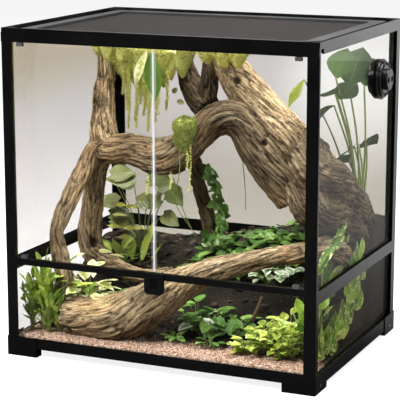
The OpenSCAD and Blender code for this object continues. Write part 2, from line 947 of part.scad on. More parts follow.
// A point of the soil, lowered a little so that a root starts inside it
function rooted(x, y, depth) =
    let (at = spot([x, y, 0]))
    [at[0], at[1], bed_height(at[0], at[1]) - depth];

// ---- driftwood ----

// A limb is a list of [x, y, z, radius], from one end to the other
module limb(path) {
    for (i = [0:len(path) - 2])
        hull() {
            knot(path[i]);
            knot(path[i + 1]);
        }
}

module knot(p) {
    translate(spot(p))
        rotate([17 * p[0], 11 * p[1], 0])
            sphere(r = p[3] * wood_scale * min(grow_x, grow), $fn = 8);
}

arch_limbs = [
    // left limb, from the lid down to the fork
    [[-211, 8, 556, 19], [-212, 5, 500, 19], [-213, 0, 470, 21], [-215, 0, 439, 23], [-215, -5, 399, 28],
     [-209, -5, 364, 31]],
    // front leg
    [[-211, -10, 370, 27], [-229, -20, 357, 20], [-239, -40, 318, 21], [-246, -75, 279, 18],
     [-253, -105, 245, 18], [-252, -125, 218, 15], [-247, -132, 191, 16], [-238, -138, 160, 17],
     [-229, -140, 110, 19], [-226, -140, 56, 20]],
    // rear leg and the root that runs along the ground
    [[-216, 0, 355, 25], [-232, 4, 311, 20], [-243, 4, 249, 22], [-248, 0, 193, 24], [-237, -5, 154, 24],
     [-194, -15, 134, 20], [-139, -35, 127, 16], [-84, -60, 132, 15], [-33, -85, 150, 15]],
    // wavy limb over the hump and down to the right
    [[-209, -5, 364, 31], [-156, -8, 364, 30], [-128, -8, 360, 33], [-98, -5, 352, 37], [-63, 0, 360, 37],
     [-33, 5, 382, 32], [-10, 8, 408, 32], [15, 12, 429, 33], [41, 18, 435, 34], [65, 24, 422, 36],
     [94, 28, 380, 39], [126, 34, 332, 41], [159, 44, 283, 38]],
    // heavy trunk from the lid to the rear right corner
    [[3, 72, 558, 28], [36, 68, 498, 36], [74, 62, 458, 42], [105, 62, 421, 47], [134, 70, 382, 53],
     [160, 84, 343, 55], [189, 104, 307, 57], [216, 124, 272, 52], [236, 138, 240, 46]],
    // root mass behind the right pane, down to the rear right corner
    [[195, 20, 372, 42], [232, -40, 352, 42], [244, 4, 330, 42], [247, 68, 290, 42], [250, 130, 248, 38],
     [254, 172, 208, 33]],
    [[205, -14, 320, 42], [236, -60, 290, 38], [246, 2, 266, 40], [249, 66, 230, 38], [252, 130, 195, 34]],
    [[199, 140, 283, 50], [234, 160, 250, 41]],
    // dark limbs behind the hump
    [[-91, 96, 552, 17], [-76, 92, 491, 23], [-56, 84, 460, 27], [-24, 68, 437, 29]],
    [[-24, 84, 552, 16], [-29, 80, 491, 19], [-29, 70, 450, 21]],
    // thin leg at the back
    [[-43, 30, 358, 15], [-44, 52, 329, 14], [-45, 70, 288, 15], [-38, 82, 245, 15], [-29, 92, 190, 16],
     [-22, 96, 150, 18]]
];

module driftwood_arch_shape() {
    for (path = arch_limbs)
        limb(path);
}

log_limbs = [
    [[-211, -158, 70, 40], [-168, -160, 71, 43], [-102, -158, 76, 47], [-47, -152, 105, 44],
     [-7, -142, 133, 37], [43, -128, 164, 27], [114, -108, 188, 22], [167, -92, 202, 20],
     [218, -74, 212, 19], [262, -48, 220, 22], [262, 20, 190, 26]],
    [[-47, -152, 91, 33], [-28, -150, 70, 22]]
];

module driftwood_log_shape() {
    for (path = log_limbs)
        limb(path);
}

// ---- plants ----

// Flat leaf that starts at a point and leaves it towards an azimuth, turned by a roll about its own length
module leaf(at, azimuth, rise, length, width, roll = 0) {
    long = length * grow;
    wide = width * grow;
    translate(at)
        rotate([0, -rise, azimuth])
            rotate([roll, 0, 0])
                translate([0, 0, -leaf_t / 2])
                    linear_extrude(leaf_t)
                        polygon([[-1, 0], [long * 0.35, -wide / 2], [long * 0.75, -wide * 0.33], [long, 0],
                                 [long * 0.75, wide * 0.33], [long * 0.35, wide / 2]]);
}

// Small leaf of a clump
module leaflet(at, azimuth, rise, length, width) {
    translate(at)
        rotate([0, -rise, azimuth])
            translate([0, 0, -leaf_t / 2])
                linear_extrude(leaf_t)
                    polygon([[-1, 0], [length * grow * 0.45, -width * grow / 2], [length * grow, 0],
                             [length * grow * 0.45, width * grow / 2]]);
}

// Thin three-sided stalk between two points, one above the other
module stalk(from, to, r = stalk_r) {
    corners = [for (k = [0:2]) r * [cos(120 * k), sin(120 * k), 0]];
    polyhedron(
        concat([for (c = corners) from + c], [for (c = corners) to + c]),
        [[0, 1, 2], [5, 4, 3], [0, 3, 4, 1], [1, 4, 5, 2], [2, 5, 3, 0]]
    );
}

// Clump of stalks that fan out from one root, each with a leaf at its end.
// A clump is [x, y, count, height, spread, leaf length, leaf width, rise of the leaves, turn]
module tuft(c) {
    root = rooted(c[0], c[1], 6);
    for (i = [0:c[2] - 1]) {
        azimuth = c[8] + 137.5 * i;
        part = sqrt((i + 0.5) / c[2]);
        far = c[4] * part * grow;
        top = root + [far * cos(azimuth), far * sin(azimuth), 6 + c[3] * grow * (1 - 0.45 * part)];
        stalk(root, top);
        leaflet(top, azimuth, c[7] - 15 * (i % 3), c[5], c[6]);
    }
}

// Leaves of one plant on separate stalks from a root.
// A leaf is [x, y, z, azimuth, rise, roll, length, width]
module spray(foot, leaves, arch, thick) {
    for (p = leaves) {
        at = spot(p);
        bend = (foot + at) / 2 + arch * grow;
        stalk(foot, bend, thick);
        stalk(bend, at, thick);
        leaf(at, p[3], p[4], p[6], p[7], p[5]);
    }
}

left_tufts = [
    [-256, -172, 12, 138, 14, 40, 13, 80, 20], [-222, -174, 7, 62, 14, 30, 12, 70, 80],
    [-196, -112, 8, 118, 36, 46, 24, 20, 75], [-146, -106, 7, 76, 30, 30, 20, 15, 10],
    [-206, 40, 8, 48, 34, 38, 16, 50, 40]
];
broad_leaves = [
    [-243, 84, 291, 20, 10, -50, 50, 38], [-200, 96, 282, 200, 5, 45, 56, 42],
    [-160, 88, 290, -20, 10, -50, 58, 42],
    [-118, 92, 268, -35, -20, -45, 52, 38], [-228, 84, 238, 190, 0, 40, 50, 38],
    [-184, 80, 242, 10, 5, -45, 54, 40],
    [-246, 84, 210, 30, 0, -50, 44, 34], [-150, 92, 252, -60, -10, -40, 50, 36],
    [-208, 86, 196, 170, 0, 45, 46, 34],
    [-130, 88, 218, -20, -15, -50, 44, 32]
];
upright_leaves = [
    [-166, 62, 128, 60, 70, 0, 78, 28], [-190, 66, 126, 120, 62, 0, 54, 20],
    [-212, 66, 124, 150, 50, 0, 52, 18],
    [-150, 62, 126, 20, 55, 0, 54, 20], [-230, 60, 132, 160, 45, 0, 44, 16]
];

module plants_left_shape() {
    for (c = left_tufts)
        tuft(c);
    spray(rooted(-178, 92, 8), broad_leaves, [0, 0, 18], stalk_r);
    spray(rooted(-182, 66, 8), upright_leaves, [0, 0, 0], stalk_r);
}

right_tufts = [
    // bright clump at the front
    [206, -152, 12, 62, 34, 24, 17, 25, 10], [152, -160, 9, 32, 26, 22, 15, 20, 55],
    [236, -162, 8, 72, 24, 24, 16, 50, 30], [214, -122, 6, 74, 30, 26, 17, 30, 70],
    // dark clump behind it
    [58, -90, 8, 56, 36, 34, 25, 10, 30], [16, -80, 7, 62, 28, 32, 24, 15, 90],
    [104, -96, 6, 50, 32, 30, 23, 10, 0],
    // ground cover on the slope
    [-24, 42, 7, 30, 34, 28, 20, 15, 25], [34, 40, 8, 34, 36, 28, 20, 15, 60],
    [92, 36, 8, 36, 36, 28, 20, 15, 5],
    [148, 24, 8, 34, 30, 28, 20, 20, 40], [84, 92, 7, 30, 38, 26, 19, 15, 80],
    // leaves behind the right pane
    [254, -150, 5, 96, 10, 42, 19, 85, 15], [254, -92, 6, 80, 10, 42, 19, 85, 50],
    [254, -24, 6, 78, 10, 42, 19, 85, 85],
    [256, 52, 5, 60, 8, 40, 18, 85, 20]
];
ivy_stem = [[-30, 62, 180], [-8, 66, 198], [2, 68, 224], [-8, 70, 256], [-16, 70, 290], [-30, 64, 322]];

module ivy() {
    for (i = [0:len(ivy_stem) - 2])
        stalk(spot(ivy_stem[i]), spot(ivy_stem[i + 1]));
    for (i = [0:len(ivy_stem) - 1], s = [-1, 1])
        leaflet(spot(ivy_stem[i]), -60 + 55 * s, 25 - 20 * s, 20, 17);
}

module plants_right_shape() {
    for (c = right_tufts)
        tuft(c);
    ivy();
}

tall_leaves = [
    [240, 40, 516, 80, 52, 20, 60, 44], [244, 104, 494, 75, 60, 20, 74, 60],
    [252, 170, 486, 80, 55, 20, 56, 46],
    [184, 26, 512, 195, -60, 30, 54, 30], [244, 44, 476, 70, 30, 30, 52, 34],
    [240, 34, 466, 236, -25, 40, 60, 38],
    [252, 120, 376, 262, -5, 40, 50, 34], [254, 140, 376, 85, 0, -40, 46, 32],
    [258, 172, 384, 80, -15, -40, 36, 30],
    [250, 96, 352, 255, 20, 40, 40, 28], [244, 28, 488, 262, 15, 30, 42, 30]
];

// Tall plant in the rear right corner: bare stems with large leaves under the lid
module tall_plant_shape() {
    spray(rooted(262, 130, 8), tall_leaves, [4, 6, 20], stalk_r + 0.5);
}

// Pads of moss as [x, y, z, radius, hang]
moss_pads = [
    [-206, 16, 556, 26, 1.2], [-178, 24, 550, 28, 1.6], [-146, 34, 546, 30, 2.2], [-112, 50, 548, 28, 1.8],
    [-76, 60, 552, 26, 1.2], [-16, 40, 564, 20, 0.7], [20, 32, 564, 22, 0.8], [52, 30, 562, 20, 0.7],
    [-34, -20, 414, 22, 1.2], [-38, -18, 392, 18, 0.6]
];

// Moss that hangs from the lid over the limbs
module hanging_moss_shape() {
    for (p = moss_pads)
        translate(spot(p))
            hull() {
                sphere(r = p[3], $fn = 10);
                translate([p[3] * 0.9, 6, 4]) sphere(r = p[3] * 0.8, $fn = 10);
                translate([-p[3] * 0.3, 0, -p[3] * p[4]]) sphere(r = p[3] * 0.35, $fn = 8);
            }
}

// ---- nodes ----

module corner_foot_front_left() { color(frame_color) place() corner_foot(-1, -1); }
module corner_foot_front_right() { color(frame_color) place() corner_foot(1, -1); }
module corner_foot_back_left() { color(frame_color) place() corner_foot(-1, 1); }
module corner_foot_back_right() { color(frame_color) place() corner_foot(1, 1); }
module base_rail_front() { color(frame_color) place() base_rail("front", tank_w, base_low_front, foot_h); }
module base_rail_back() { color(frame_color) place() base_rail("back", tank_w, base_low_front, foot_h); }
module base_rail_left() {
    color(frame_color) place() base_rail("left", tank_d, base_low_side, base_high_side);
}
module base_rail_right() {
    color(frame_color) place() base_rail("right", tank_d, base_low_side, base_high_side);
}
module lower_post_front_left() { color(frame_color) place() lower_post(-1, -1); }
module lower_post_front_right() { color(frame_color) place() lower_post(1, -1); }
module lower_post_back_left() { color(frame_color) place() lower_post(-1, 1); }
module lower_post_back_right() { color(frame_color) place() lower_post(1, 1); }
module mid_rail_front() { color(frame_color) place() mid_rail_front_shape(); }
module mid_rail_back() {
    color(frame_color) place() at_side("back") along(tank_w - 2 * post_face) mid_section_side();
}
module mid_rail_left() { color(frame_color) place() mid_rail_side("left"); }
module mid_rail_right() { color(frame_color) place() mid_rail_side("right"); }
module upper_post_front_left() { color(frame_color) place() upper_post(-1, -1); }
module upper_post_front_right() { color(frame_color) place() upper_post(1, -1); }
module upper_post_back_left() { color(frame_color) place() upper_post(-1, 1); }
module upper_post_back_right() { color(frame_color) place() upper_post(1, 1); }
module top_rail_front() { color(frame_color) place() top_rail_front_shape(); }
module top_rail_back() { color(frame_color) place() top_rail_back_shape(); }
module top_rail_left() { color(frame_color) place() top_rail_side("left"); }
module top_rail_right() { color(frame_color) place() top_rail_side("right"); }
module top_corner_front_left() { color(frame_color) place() top_corner(-1, -1); }
module top_corner_front_right() { color(frame_color) place() top_corner(1, -1); }
module top_corner_back_left() { color(frame_color) place() top_corner(-1, 1); }
module top_corner_back_right() { color(frame_color) place() top_corner(1, 1); }
module floor_pane() { color(glass_color) place() floor_pane_shape(); }
module lower_pane_front() {
    color(glass_color) place() pane("front", tank_w, floor_z + pane_fit, seam_z - 5 - pane_fit);
}
module lower_pane_back() {
    color(glass_color) place() pane("back", tank_w, floor_z + pane_fit, mid_low_side + 6 - pane_fit);
}
module lower_pane_left() {
    color(glass_color) place() pane("left", tank_d, floor_z + pane_fit, mid_low_side + 6 - pane_fit);
}
module lower_pane_right() {
    color(glass_color) place() pane("right", tank_d, floor_z + pane_fit, mid_low_side + 6 - pane_fit);
}
module upper_pane_back() {
    color(glass_color) place()
        pane("back", tank_w, mid_high_side - 6 + pane_fit, ledge_z - ledge_t - pane_fit);
}
module upper_pane_left() { color(glass_color) place() side_pane("left"); }
module upper_pane_right() {
    color(glass_color) place()
        difference() {
            side_pane("right");
            translate([pane_inner_x - 1, port_y, port_z])
                rotate([0, 90, 0])
                    cylinder(r = barrel_r + port_barrel_fit, h = pane_t + 2, $fn = 96);
        }
}
module door_pane_left() { color(glass_color) place() door_pane(-1); }
module door_pane_right() { color(glass_color) place() door_pane(1); }
module door_hinges_left() { color("#8f9092") place() door_hinges(-1); }
module door_hinges_right() { color("#8f9092") place() door_hinges(1); }
module door_seam_strip() { color("#e4e8ea") place() door_seam_strip_shape(); }
module latch_housing() { color(frame_color) place() latch_housing_shape(); }
module latch_slider() { color("#1c1c1f") place() latch_slider_shape(); }
module screen_frame() { color("#1a1a1c") place() screen_frame_shape(); }
module screen_mesh() { color("#4a4848") place() screen_mesh_shape(); }
module screen_clip_left() { color("#0c0c0d") place() screen_clip(-1); }
module screen_clip_right() { color("#0c0c0d") place() screen_clip(1); }
module cable_slider_left() { color("#1c1c1f") place() cable_slider(-1); }
module cable_slider_right() { color("#1c1c1f") place() cable_slider(1); }
module port_flange() { color("#101012") place() port_flange_shape(); }
module port_nut() { color("#101012") place() port_nut_shape(); }
module port_cap() { color("#18181a") place() port_cap_shape(); }
module frame_screws() { color("#b8babc") place() frame_screws_shape(); }
module bedding() { color("#8a6b54") place() bedding_shape(); }
module driftwood_arch() { color(wood_color) place() driftwood_arch_shape(); }
module driftwood_log() { color(wood_color) place() driftwood_log_shape(); }
module plants_left() { color(leaf_color) place() plants_left_shape(); }
module plants_right() { color(leaf_color) place() plants_right_shape(); }
module tall_plant() { color(leaf_color) place() tall_plant_shape(); }
module hanging_moss() { color(moss_color) place() hanging_moss_shape(); }

corner_foot_front_left();
corner_foot_front_right();
corner_foot_back_left();
corner_foot_back_right();
base_rail_front();
base_rail_back();
base_rail_left();
base_rail_right();
lower_post_front_left();
lower_post_front_right();
lower_post_back_left();
lower_post_back_right();
mid_rail_front();
mid_rail_back();
mid_rail_left();
mid_rail_right();
upper_post_front_left();
upper_post_front_right();
upper_post_back_left();
upper_post_back_right();
top_rail_front();
top_rail_back();
top_rail_left();
top_rail_right();
top_corner_front_left();
top_corner_front_right();
top_corner_back_left();
top_corner_back_right();
floor_pane();
lower_pane_front();
lower_pane_back();
lower_pane_left();
lower_pane_right();
upper_pane_back();
upper_pane_left();
upper_pane_right();
door_pane_left();
door_pane_right();
door_hinges_left();
door_hinges_right();
door_seam_strip();
latch_housing();
latch_slider();
screen_frame();
screen_mesh();
screen_clip_left();
screen_clip_right();
cable_slider_left();
cable_slider_right();
port_flange();
port_nut();
port_cap();
frame_screws();
bedding();
driftwood_arch();
driftwood_log();
plants_left();
plants_right();
tall_plant();
hanging_moss();
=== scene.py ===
"""Looks of a glass reptile terrarium around its CAD frame."""
import json
import math

import bpy
import numpy as np
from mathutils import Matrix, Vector, noise
from numpy.linalg import norm


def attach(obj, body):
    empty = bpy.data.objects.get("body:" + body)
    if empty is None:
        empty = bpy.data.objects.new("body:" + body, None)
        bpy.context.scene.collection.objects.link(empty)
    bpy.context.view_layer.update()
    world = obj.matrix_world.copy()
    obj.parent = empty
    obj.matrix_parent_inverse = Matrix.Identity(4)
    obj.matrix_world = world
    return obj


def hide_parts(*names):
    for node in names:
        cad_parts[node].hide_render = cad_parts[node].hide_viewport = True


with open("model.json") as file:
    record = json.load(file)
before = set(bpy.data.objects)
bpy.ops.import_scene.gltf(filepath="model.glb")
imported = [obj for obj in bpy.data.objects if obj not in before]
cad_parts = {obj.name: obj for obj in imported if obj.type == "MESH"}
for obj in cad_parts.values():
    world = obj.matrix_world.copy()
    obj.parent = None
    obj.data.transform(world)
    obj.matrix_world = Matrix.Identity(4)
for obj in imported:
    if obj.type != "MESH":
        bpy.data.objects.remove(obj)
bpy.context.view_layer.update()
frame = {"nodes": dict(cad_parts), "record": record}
rng = np.random.default_rng(7)

# Points are in millimetres from the middle of the tank's floor plan; SHIFT takes them into the CAD frame
SHIFT = np.array([-6.5, 1.5, 0.0])
ROOM_LOW = np.array([-291.0, -214.5, 25.2])
ROOM_HIGH = np.array([291.0, 214.5, 596.0])
TANK_X, TANK_Y = 305.0, 228.5  # half the length and depth of the tank
SOIL_X, SOIL_Y = 290.5, 214.0  # the same of the bedding
SOIL_SETBACK = 278.0  # where the soil ends before the right pane, so that leaves fit between
UP = np.array([0.0, 0.0, 1.0])
FULL_TURN = 6.28  # in radians, near enough for a random angle
GOLDEN_ANGLE, GOLDEN_RATIO = 137.5, 0.618  # spread neighbouring leaves evenly


def metres(points):
    return (np.asarray(points, float) + SHIFT) / 1000.0


def unit(v):
    v = np.asarray(v, float)
    return v / max(1e-9, float(norm(v)))


# ---- meshes


def add_object(name, data):
    ob = bpy.data.objects.new(name, data)
    bpy.context.scene.collection.objects.link(ob)
    return ob


def quads(rows, cols, closed=True, base=0):
    """Faces between neighbouring rows of points; closed joins the end of each row to its start."""
    return [(a, b, b + cols, a + cols) for r in range(base, base + (rows - 1) * cols, cols)
        for a, b in ((r + c, r + (c + 1) % cols) for c in range(cols if closed else cols - 1))]


def make_piece(name, verts, faces, material, body="tank", uv=None, extra=None, smooth=True, clip=True):
    """Object from points in millimetres that rides a body; clip keeps the points inside the tank."""
    v = np.asarray(verts, float)
    if clip:
        v = np.clip(v, ROOM_LOW, ROOM_HIGH)
    me = bpy.data.meshes.new(name)
    me.from_pydata(metres(v).tolist(), [], faces)
    me.update()
    if uv is not None:
        layer = me.uv_layers.new(name="UVMap")
        idx = np.empty(len(me.loops), dtype=np.int32)
        me.loops.foreach_get("vertex_index", idx)
        layer.data.foreach_set("uv", np.asarray(uv, np.float32)[idx].ravel())
    for key, values in (extra or {}).items():
        values = np.asarray(values, np.float32)
        kind, field = ("FLOAT_VECTOR", "vector") if values.ndim == 2 else ("FLOAT", "value")
        me.attributes.new(key, kind, "POINT").data.foreach_set(field, values.ravel())
    if smooth:
        me.polygons.foreach_set("use_smooth", [True] * len(me.polygons))
    me.materials.append(material)
    ob = add_object(name, me)
    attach(ob, body)
    return ob


class Bag:
    """Collects many small meshes into one, with a leaf coordinate and a tone for each point."""

    def __init__(self):
        self.v, self.f, self.uv, self.tone, self.n = [], [], [], [], 0

    def add(self, verts, faces, uv, tone):
        self.v.append(np.asarray(verts, float))
        self.f.extend([tuple(self.n + i for i in f) for f in faces])
        self.uv.append(np.asarray(uv, float))
        self.tone.append(np.full(len(verts), float(tone)))
        self.n += len(verts)

    def piece(self, name, material):
        return make_piece(name, np.concatenate(self.v), self.f, material, uv=np.concatenate(self.uv),
            extra={"tone": np.concatenate(self.tone)})


# A leaf is a grid of points: T runs from its base to its tip, COLS from edge to edge, WIDTHS is its outline
COLS = (-1.0, -0.5, 0.0, 0.5, 1.0)
T = np.linspace(0.0, 1.0, 7)
LEAF_FACES = quads(len(T), len(COLS), closed=False)
LEAF_UV = np.array([((c + 1) / 2, t) for t in T for c in COLS])
WIDTHS = {"ovate": [0.08, 0.66, 0.96, 1.0, 0.82, 0.46, 0.0], "heart": [0.42, 0.98, 1.0, 0.88, 0.66, 0.34, 0.0],
    "round": [0.3, 0.86, 1.0, 1.0, 0.9, 0.6, 0.05], "lance": [0.1, 0.52, 0.86, 1.0, 0.88, 0.52, 0.0]}


def leaf(bag, base, direction, length, width, kind, tone, droop, fold=0.22, face=None, wave=0.03):
    """One leaf blade from its base along a direction; face is the way that its upper side looks."""
    d = unit(direction)
    n = unit(face if face is not None else UP + 0.25 * rng.normal(size=3))
    side = np.cross(d, n)
    if norm(side) < 0.2:
        side = np.cross(d, n + np.array([0.7, 0.4, 0.1]))
    side = unit(side)
    n = np.cross(side, d)
    w = np.array(WIDTHS[kind]) * width / 2
    phase = rng.uniform(0, FULL_TURN)
    pts = []
    for r, t in enumerate(T):
        c = np.asarray(base, float) + d * length * t - UP * droop * length * t * t
        for s in COLS:
            back = -0.1 * length * (abs(s) if r == 0 and kind == "heart" else 0)
            lift = fold * abs(s) * w[r] + wave * length * math.sin(phase + 7 * t + 2 * s) * abs(s)
            pts.append(c + side * s * w[r] + n * lift + d * back)
    bag.add(pts, LEAF_FACES, LEAF_UV, tone)


def curve_points(points, step):
    """Smooth curve through points of any dimension, sampled about every step in its first three."""
    p = np.asarray(points, float)
    ext = np.vstack([2 * p[0] - p[1], p, 2 * p[-1] - p[-2]])
    out = []
    for i in range(1, len(ext) - 2):
        a, b, c, d = ext[i - 1:i + 3]
        m = max(2, int(norm((c - b)[:3]) / step))
        for t in np.arange(m) / m:
            out.append(0.5 * (2 * b + (c - a) * t + (2 * a - 5 * b + 4 * c - d) * t * t + (3 * b - a - 3 * c + d) *
                t ** 3))
    out.append(p[-1])
    return np.array(out)


def frames(pts):
    """Tangents and two carried normals along a curve."""
    tan = np.gradient(pts[:, :3], axis=0)
    tan /= np.maximum(1e-9, norm(tan, axis=1))[:, None]
    ref = np.array([0.31, 0.94, 0.12])
    first = unit(ref - tan[0] * ref.dot(tan[0]))
    nor = [first]
    for t in tan[1:]:
        q = nor[-1] - t * nor[-1].dot(t)
        nor.append(unit(q))
    nor = np.array(nor)
    return tan, nor, np.cross(tan, nor)


def tube(pts, radii, sides):
    """Closed tube round a sampled curve."""
    _, nor, bi = frames(pts)
    ang = np.arange(sides) * 2 * math.pi / sides
    ring = pts[:, None, :3] + radii[:, None, None] * (np.cos(ang)[None, :, None] * nor[:, None] +
        np.sin(ang)[None, :, None] * bi[:, None])
    v = ring.reshape(-1, 3)
    f = quads(len(pts), sides)
    f.append(tuple(reversed(range(sides))))
    f.append(tuple(len(v) - sides + k for k in range(sides)))
    return v, f


def stem(bag, points, r0, r1, tone=-1.0, sides=5, step=12.0):
    """Thin stalk through the points; gives back the curve that it follows."""
    pts = curve_points(points, step) if len(points) > 2 else np.linspace(points[0], points[-1], 4)
    r = np.linspace(r0, r1, len(pts))
    v, f = tube(pts, r, sides)
    bag.add(v, f, np.tile([[0.5, 0.5]], (len(v), 1)), tone)
    return pts


# ---- materials


class Nodes:
    """A new material and short calls for its nodes."""

    def __init__(self, name):
        self.mat = bpy.data.materials.new(name)
        self.mat.use_nodes = True
        self.t = self.mat.node_tree
        self.t.nodes.clear()
        self.out = self.t.nodes.new("ShaderNodeOutputMaterial")

    def new(self, kind, inputs=None, **props):
        """A node; an input is a value or the socket that feeds it."""
        n = self.t.nodes.new("ShaderNode" + kind)
        for k, v in props.items():
            setattr(n, k, v)
        for k, v in (inputs or {}).items():
            if isinstance(v, bpy.types.NodeSocket):
                self.t.links.new(v, n.inputs[k])
            else:
                n.inputs[k].default_value = v
        return n

    def link(self, a, b):
        self.t.links.new(a, b)

    def show(self, node):
        """Makes the node's shader the material's surface."""
        self.link(node.outputs[0], self.out.inputs["Surface"])
        return self.mat

    def ramp(self, fac, stops):
        n = self.new("ValToRGB", {"Fac": fac})
        e = n.color_ramp.elements
        while len(e) < len(stops):
            e.new(0.5)
        for i, (p, c) in enumerate(stops):
            e[i].position = p
            e[i].color = (*c, 1.0)
        return n.outputs["Color"]

    def noise(self, vector, scale, detail=4.0, rough=0.55, distortion=0.0):
        return self.new("TexNoise", {"Vector": vector, "Scale": scale, "Detail": detail, "Roughness": rough,
            "Distortion": distortion}).outputs["Fac"]

    def math(self, op, a, b=0.0):
        return self.new("Math", {0: a, 1: b}, operation=op).outputs[0]

    def times(self, a, b):
        return self.math("MULTIPLY", a, b)

    def plus(self, a, b, factor=1.0):
        """a + b * factor"""
        return self.math("ADD", a, b if factor == 1.0 else self.times(b, factor))

    def span(self, value, low, high, to_low=0.0, to_high=1.0, clamp=True):
        """The value's place between low and high, from to_low to to_high."""
        return self.new("MapRange", {"Value": value, "From Min": low, "From Max": high, "To Min": to_low,
            "To Max": to_high}, clamp=clamp).outputs[0]

    def axis(self, vector, which):
        return self.new("SeparateXYZ", {0: vector}).outputs[which]

    def stored(self, name, output="Fac"):
        """A value that the mesh keeps for each point."""
        return self.new("Attribute", attribute_name=name).outputs[output]

    def mix(self, fac, a, b, mode="MIX"):
        a, b = (v if isinstance(v, bpy.types.NodeSocket) else (*v, 1.0) for v in (a, b))
        return self.new("Mix", {0: fac, 6: a, 7: b}, data_type="RGBA", blend_type=mode).outputs[2]

    def bump(self, height, strength, distance):
        return self.new("Bump", {"Height": height, "Strength": strength, "Distance": distance}).outputs[0]

    def where(self):
        return self.new("NewGeometry").outputs["Position"]

    def scaled(self, vector, scale):
        return self.new("Mapping", {"Vector": vector, "Scale": scale}).outputs[0]

    def finish(self, color, rough, normal, specular, metallic=0.0):
        self.shader = self.new("BsdfPrincipled", {"Base Color": color, "Roughness": rough, "Normal": normal,
            "Specular IOR Level": specular, "Metallic": metallic})
        return self.show(self.shader)


def plastic(name, dark, light, rough, specular, grain=900.0, strength=0.12):
    m = Nodes(name)
    p = m.where()
    fine = m.noise(p, grain, 3.0)
    broad = m.noise(p, 14.0, 3.0)
    color = m.ramp(broad, [(0.3, dark), (0.75, light)])
    return m.finish(color, m.plus(rough - 0.06, broad, 0.12), m.bump(fine, strength, 0.0002), specular)


def glass(name, tint, shine, low=None, fade=(0.2, 0.45), high=None, top=(0.45, 0.58), east=None, side=(0.05, 0.24)):
    """Thin clear pane. low, high and east are colours that it turns to near the ground, near the lid and at the
    right end, each with the span in metres over which tint turns into it: painted shade and light on what is seen
    through it."""
    m = Nodes(name)
    p = m.where()
    cloud = m.noise(m.scaled(p, (5.0, 5.0, 1.6)), 1.0, 3.0)
    color = m.mix(cloud, [c * 0.95 for c in tint], tint)
    xyz = m.new("SeparateXYZ", {0: p})
    for other, axis, span in ((high, 2, top), (east, 0, side), (low, 2, (fade[1], fade[0]))):
        if other:
            place = m.plus(xyz.outputs[axis], cloud, 0.05)
            rise = m.new("MapRange", {"Value": place, "From Min": span[0], "From Max": span[1]},
                interpolation_type="SMOOTHSTEP")
            color = m.mix(rise.outputs[0], color, other)
    clear = m.new("BsdfTransparent", {"Color": color})
    gloss = m.new("BsdfGlossy", {"Color": (1, 1, 1, 1), "Roughness": 0.02})
    fres = m.new("Fresnel", {"IOR": 1.45})
    part = m.times(fres.outputs[0], shine)
    return m.show(m.new("MixShader", {0: part, 1: clear.outputs[0], 2: gloss.outputs[0]}))


def metal(name, color, rough):
    m = Nodes(name)
    n = m.noise(m.scaled(m.where(), (300.0, 300.0, 1400.0)), 1.0, 3.0)
    c = m.ramp(n, [(0.3, [v * 0.8 for v in color]), (0.7, color)])
    return m.finish(c, m.plus(rough, n, 0.15), m.bump(n, 0.1, 0.0002), 0.5, 1.0)


def wood():
    """Bark with grain along each limb, from what the driftwood meshes keep for each point."""
    m = Nodes("driftwood_bark")
    limb = m.stored("limb", "Vector")
    groove = m.stored("groove")
    shade = m.stored("shade")
    p = m.where()
    grain = m.noise(m.scaled(limb, (12.0, 95.0, 95.0)), 1.0, 9.0, 0.75, 1.4)
    fibre = m.noise(m.scaled(limb, (34.0, 250.0, 250.0)), 1.0, 4.0, 0.65, 0.8)
    patch = m.noise(p, 9.0, 4.0, 0.6)
    speck = m.noise(m.scaled(limb, (240.0, 420.0, 420.0)), 1.0, 2.0)
    base = m.ramp(m.plus(m.times(grain, 0.65), patch, 0.42), [(0.38, (0.11, 0.07, 0.038)),
        (0.47, (0.33, 0.235, 0.128)), (0.55, (0.53, 0.405, 0.245)), (0.63, (0.7, 0.58, 0.4)),
        (0.74, (0.86, 0.77, 0.6))])
    ochre = m.mix(m.ramp(patch, [(0.5, (0, 0, 0)), (0.7, (0.5, 0.5, 0.5))]), base, (0.56, 0.36, 0.15), "OVERLAY")
    # painted shade: grooves and knot pits are darkened by the groove value, which in the torn bark patches is partly
    # the bark's own darker colour
    dark = m.mix(m.ramp(groove, [(0.15, (0, 0, 0)), (1.0, (0.95, 0.95, 0.95))]), ochre, (0.05, 0.032, 0.02))
    line = m.ramp(fibre, [(0.4, (0.22, 0.19, 0.16)), (0.48, (0.8, 0.78, 0.76)), (0.6, (1.25, 1.25, 1.22))])
    color = m.mix(0.85, dark, line, "MULTIPLY")
    color = m.mix(0.5, color, m.ramp(speck, [(0.4, (0.45, 0.42, 0.38)), (0.48, (1, 1, 1))]), "MULTIPLY")
    # painted shade: the wood is darker on its downward-facing sides
    under = m.axis(m.new("NewGeometry").outputs["Normal"], 2)
    top_light_mask = m.span(under, -0.75, 0.15)
    color = m.mix(m.math("SUBTRACT", 1.0, top_light_mask), color, m.mix(0.85, color, (0.42, 0.3, 0.22), "MULTIPLY"))
    # painted light and shade on each limb from its tones, partly the limbs' own colour
    level = m.span(shade, 0.0, 1.0, 0.14, 1.25, clamp=False)
    color = m.mix(1.0, color, level, "MULTIPLY")
    height = m.plus(grain, fibre, 0.5)
    return m.finish(color, m.plus(0.66, grain, 0.2), m.bump(height, 1.0, 0.009), 0.15)


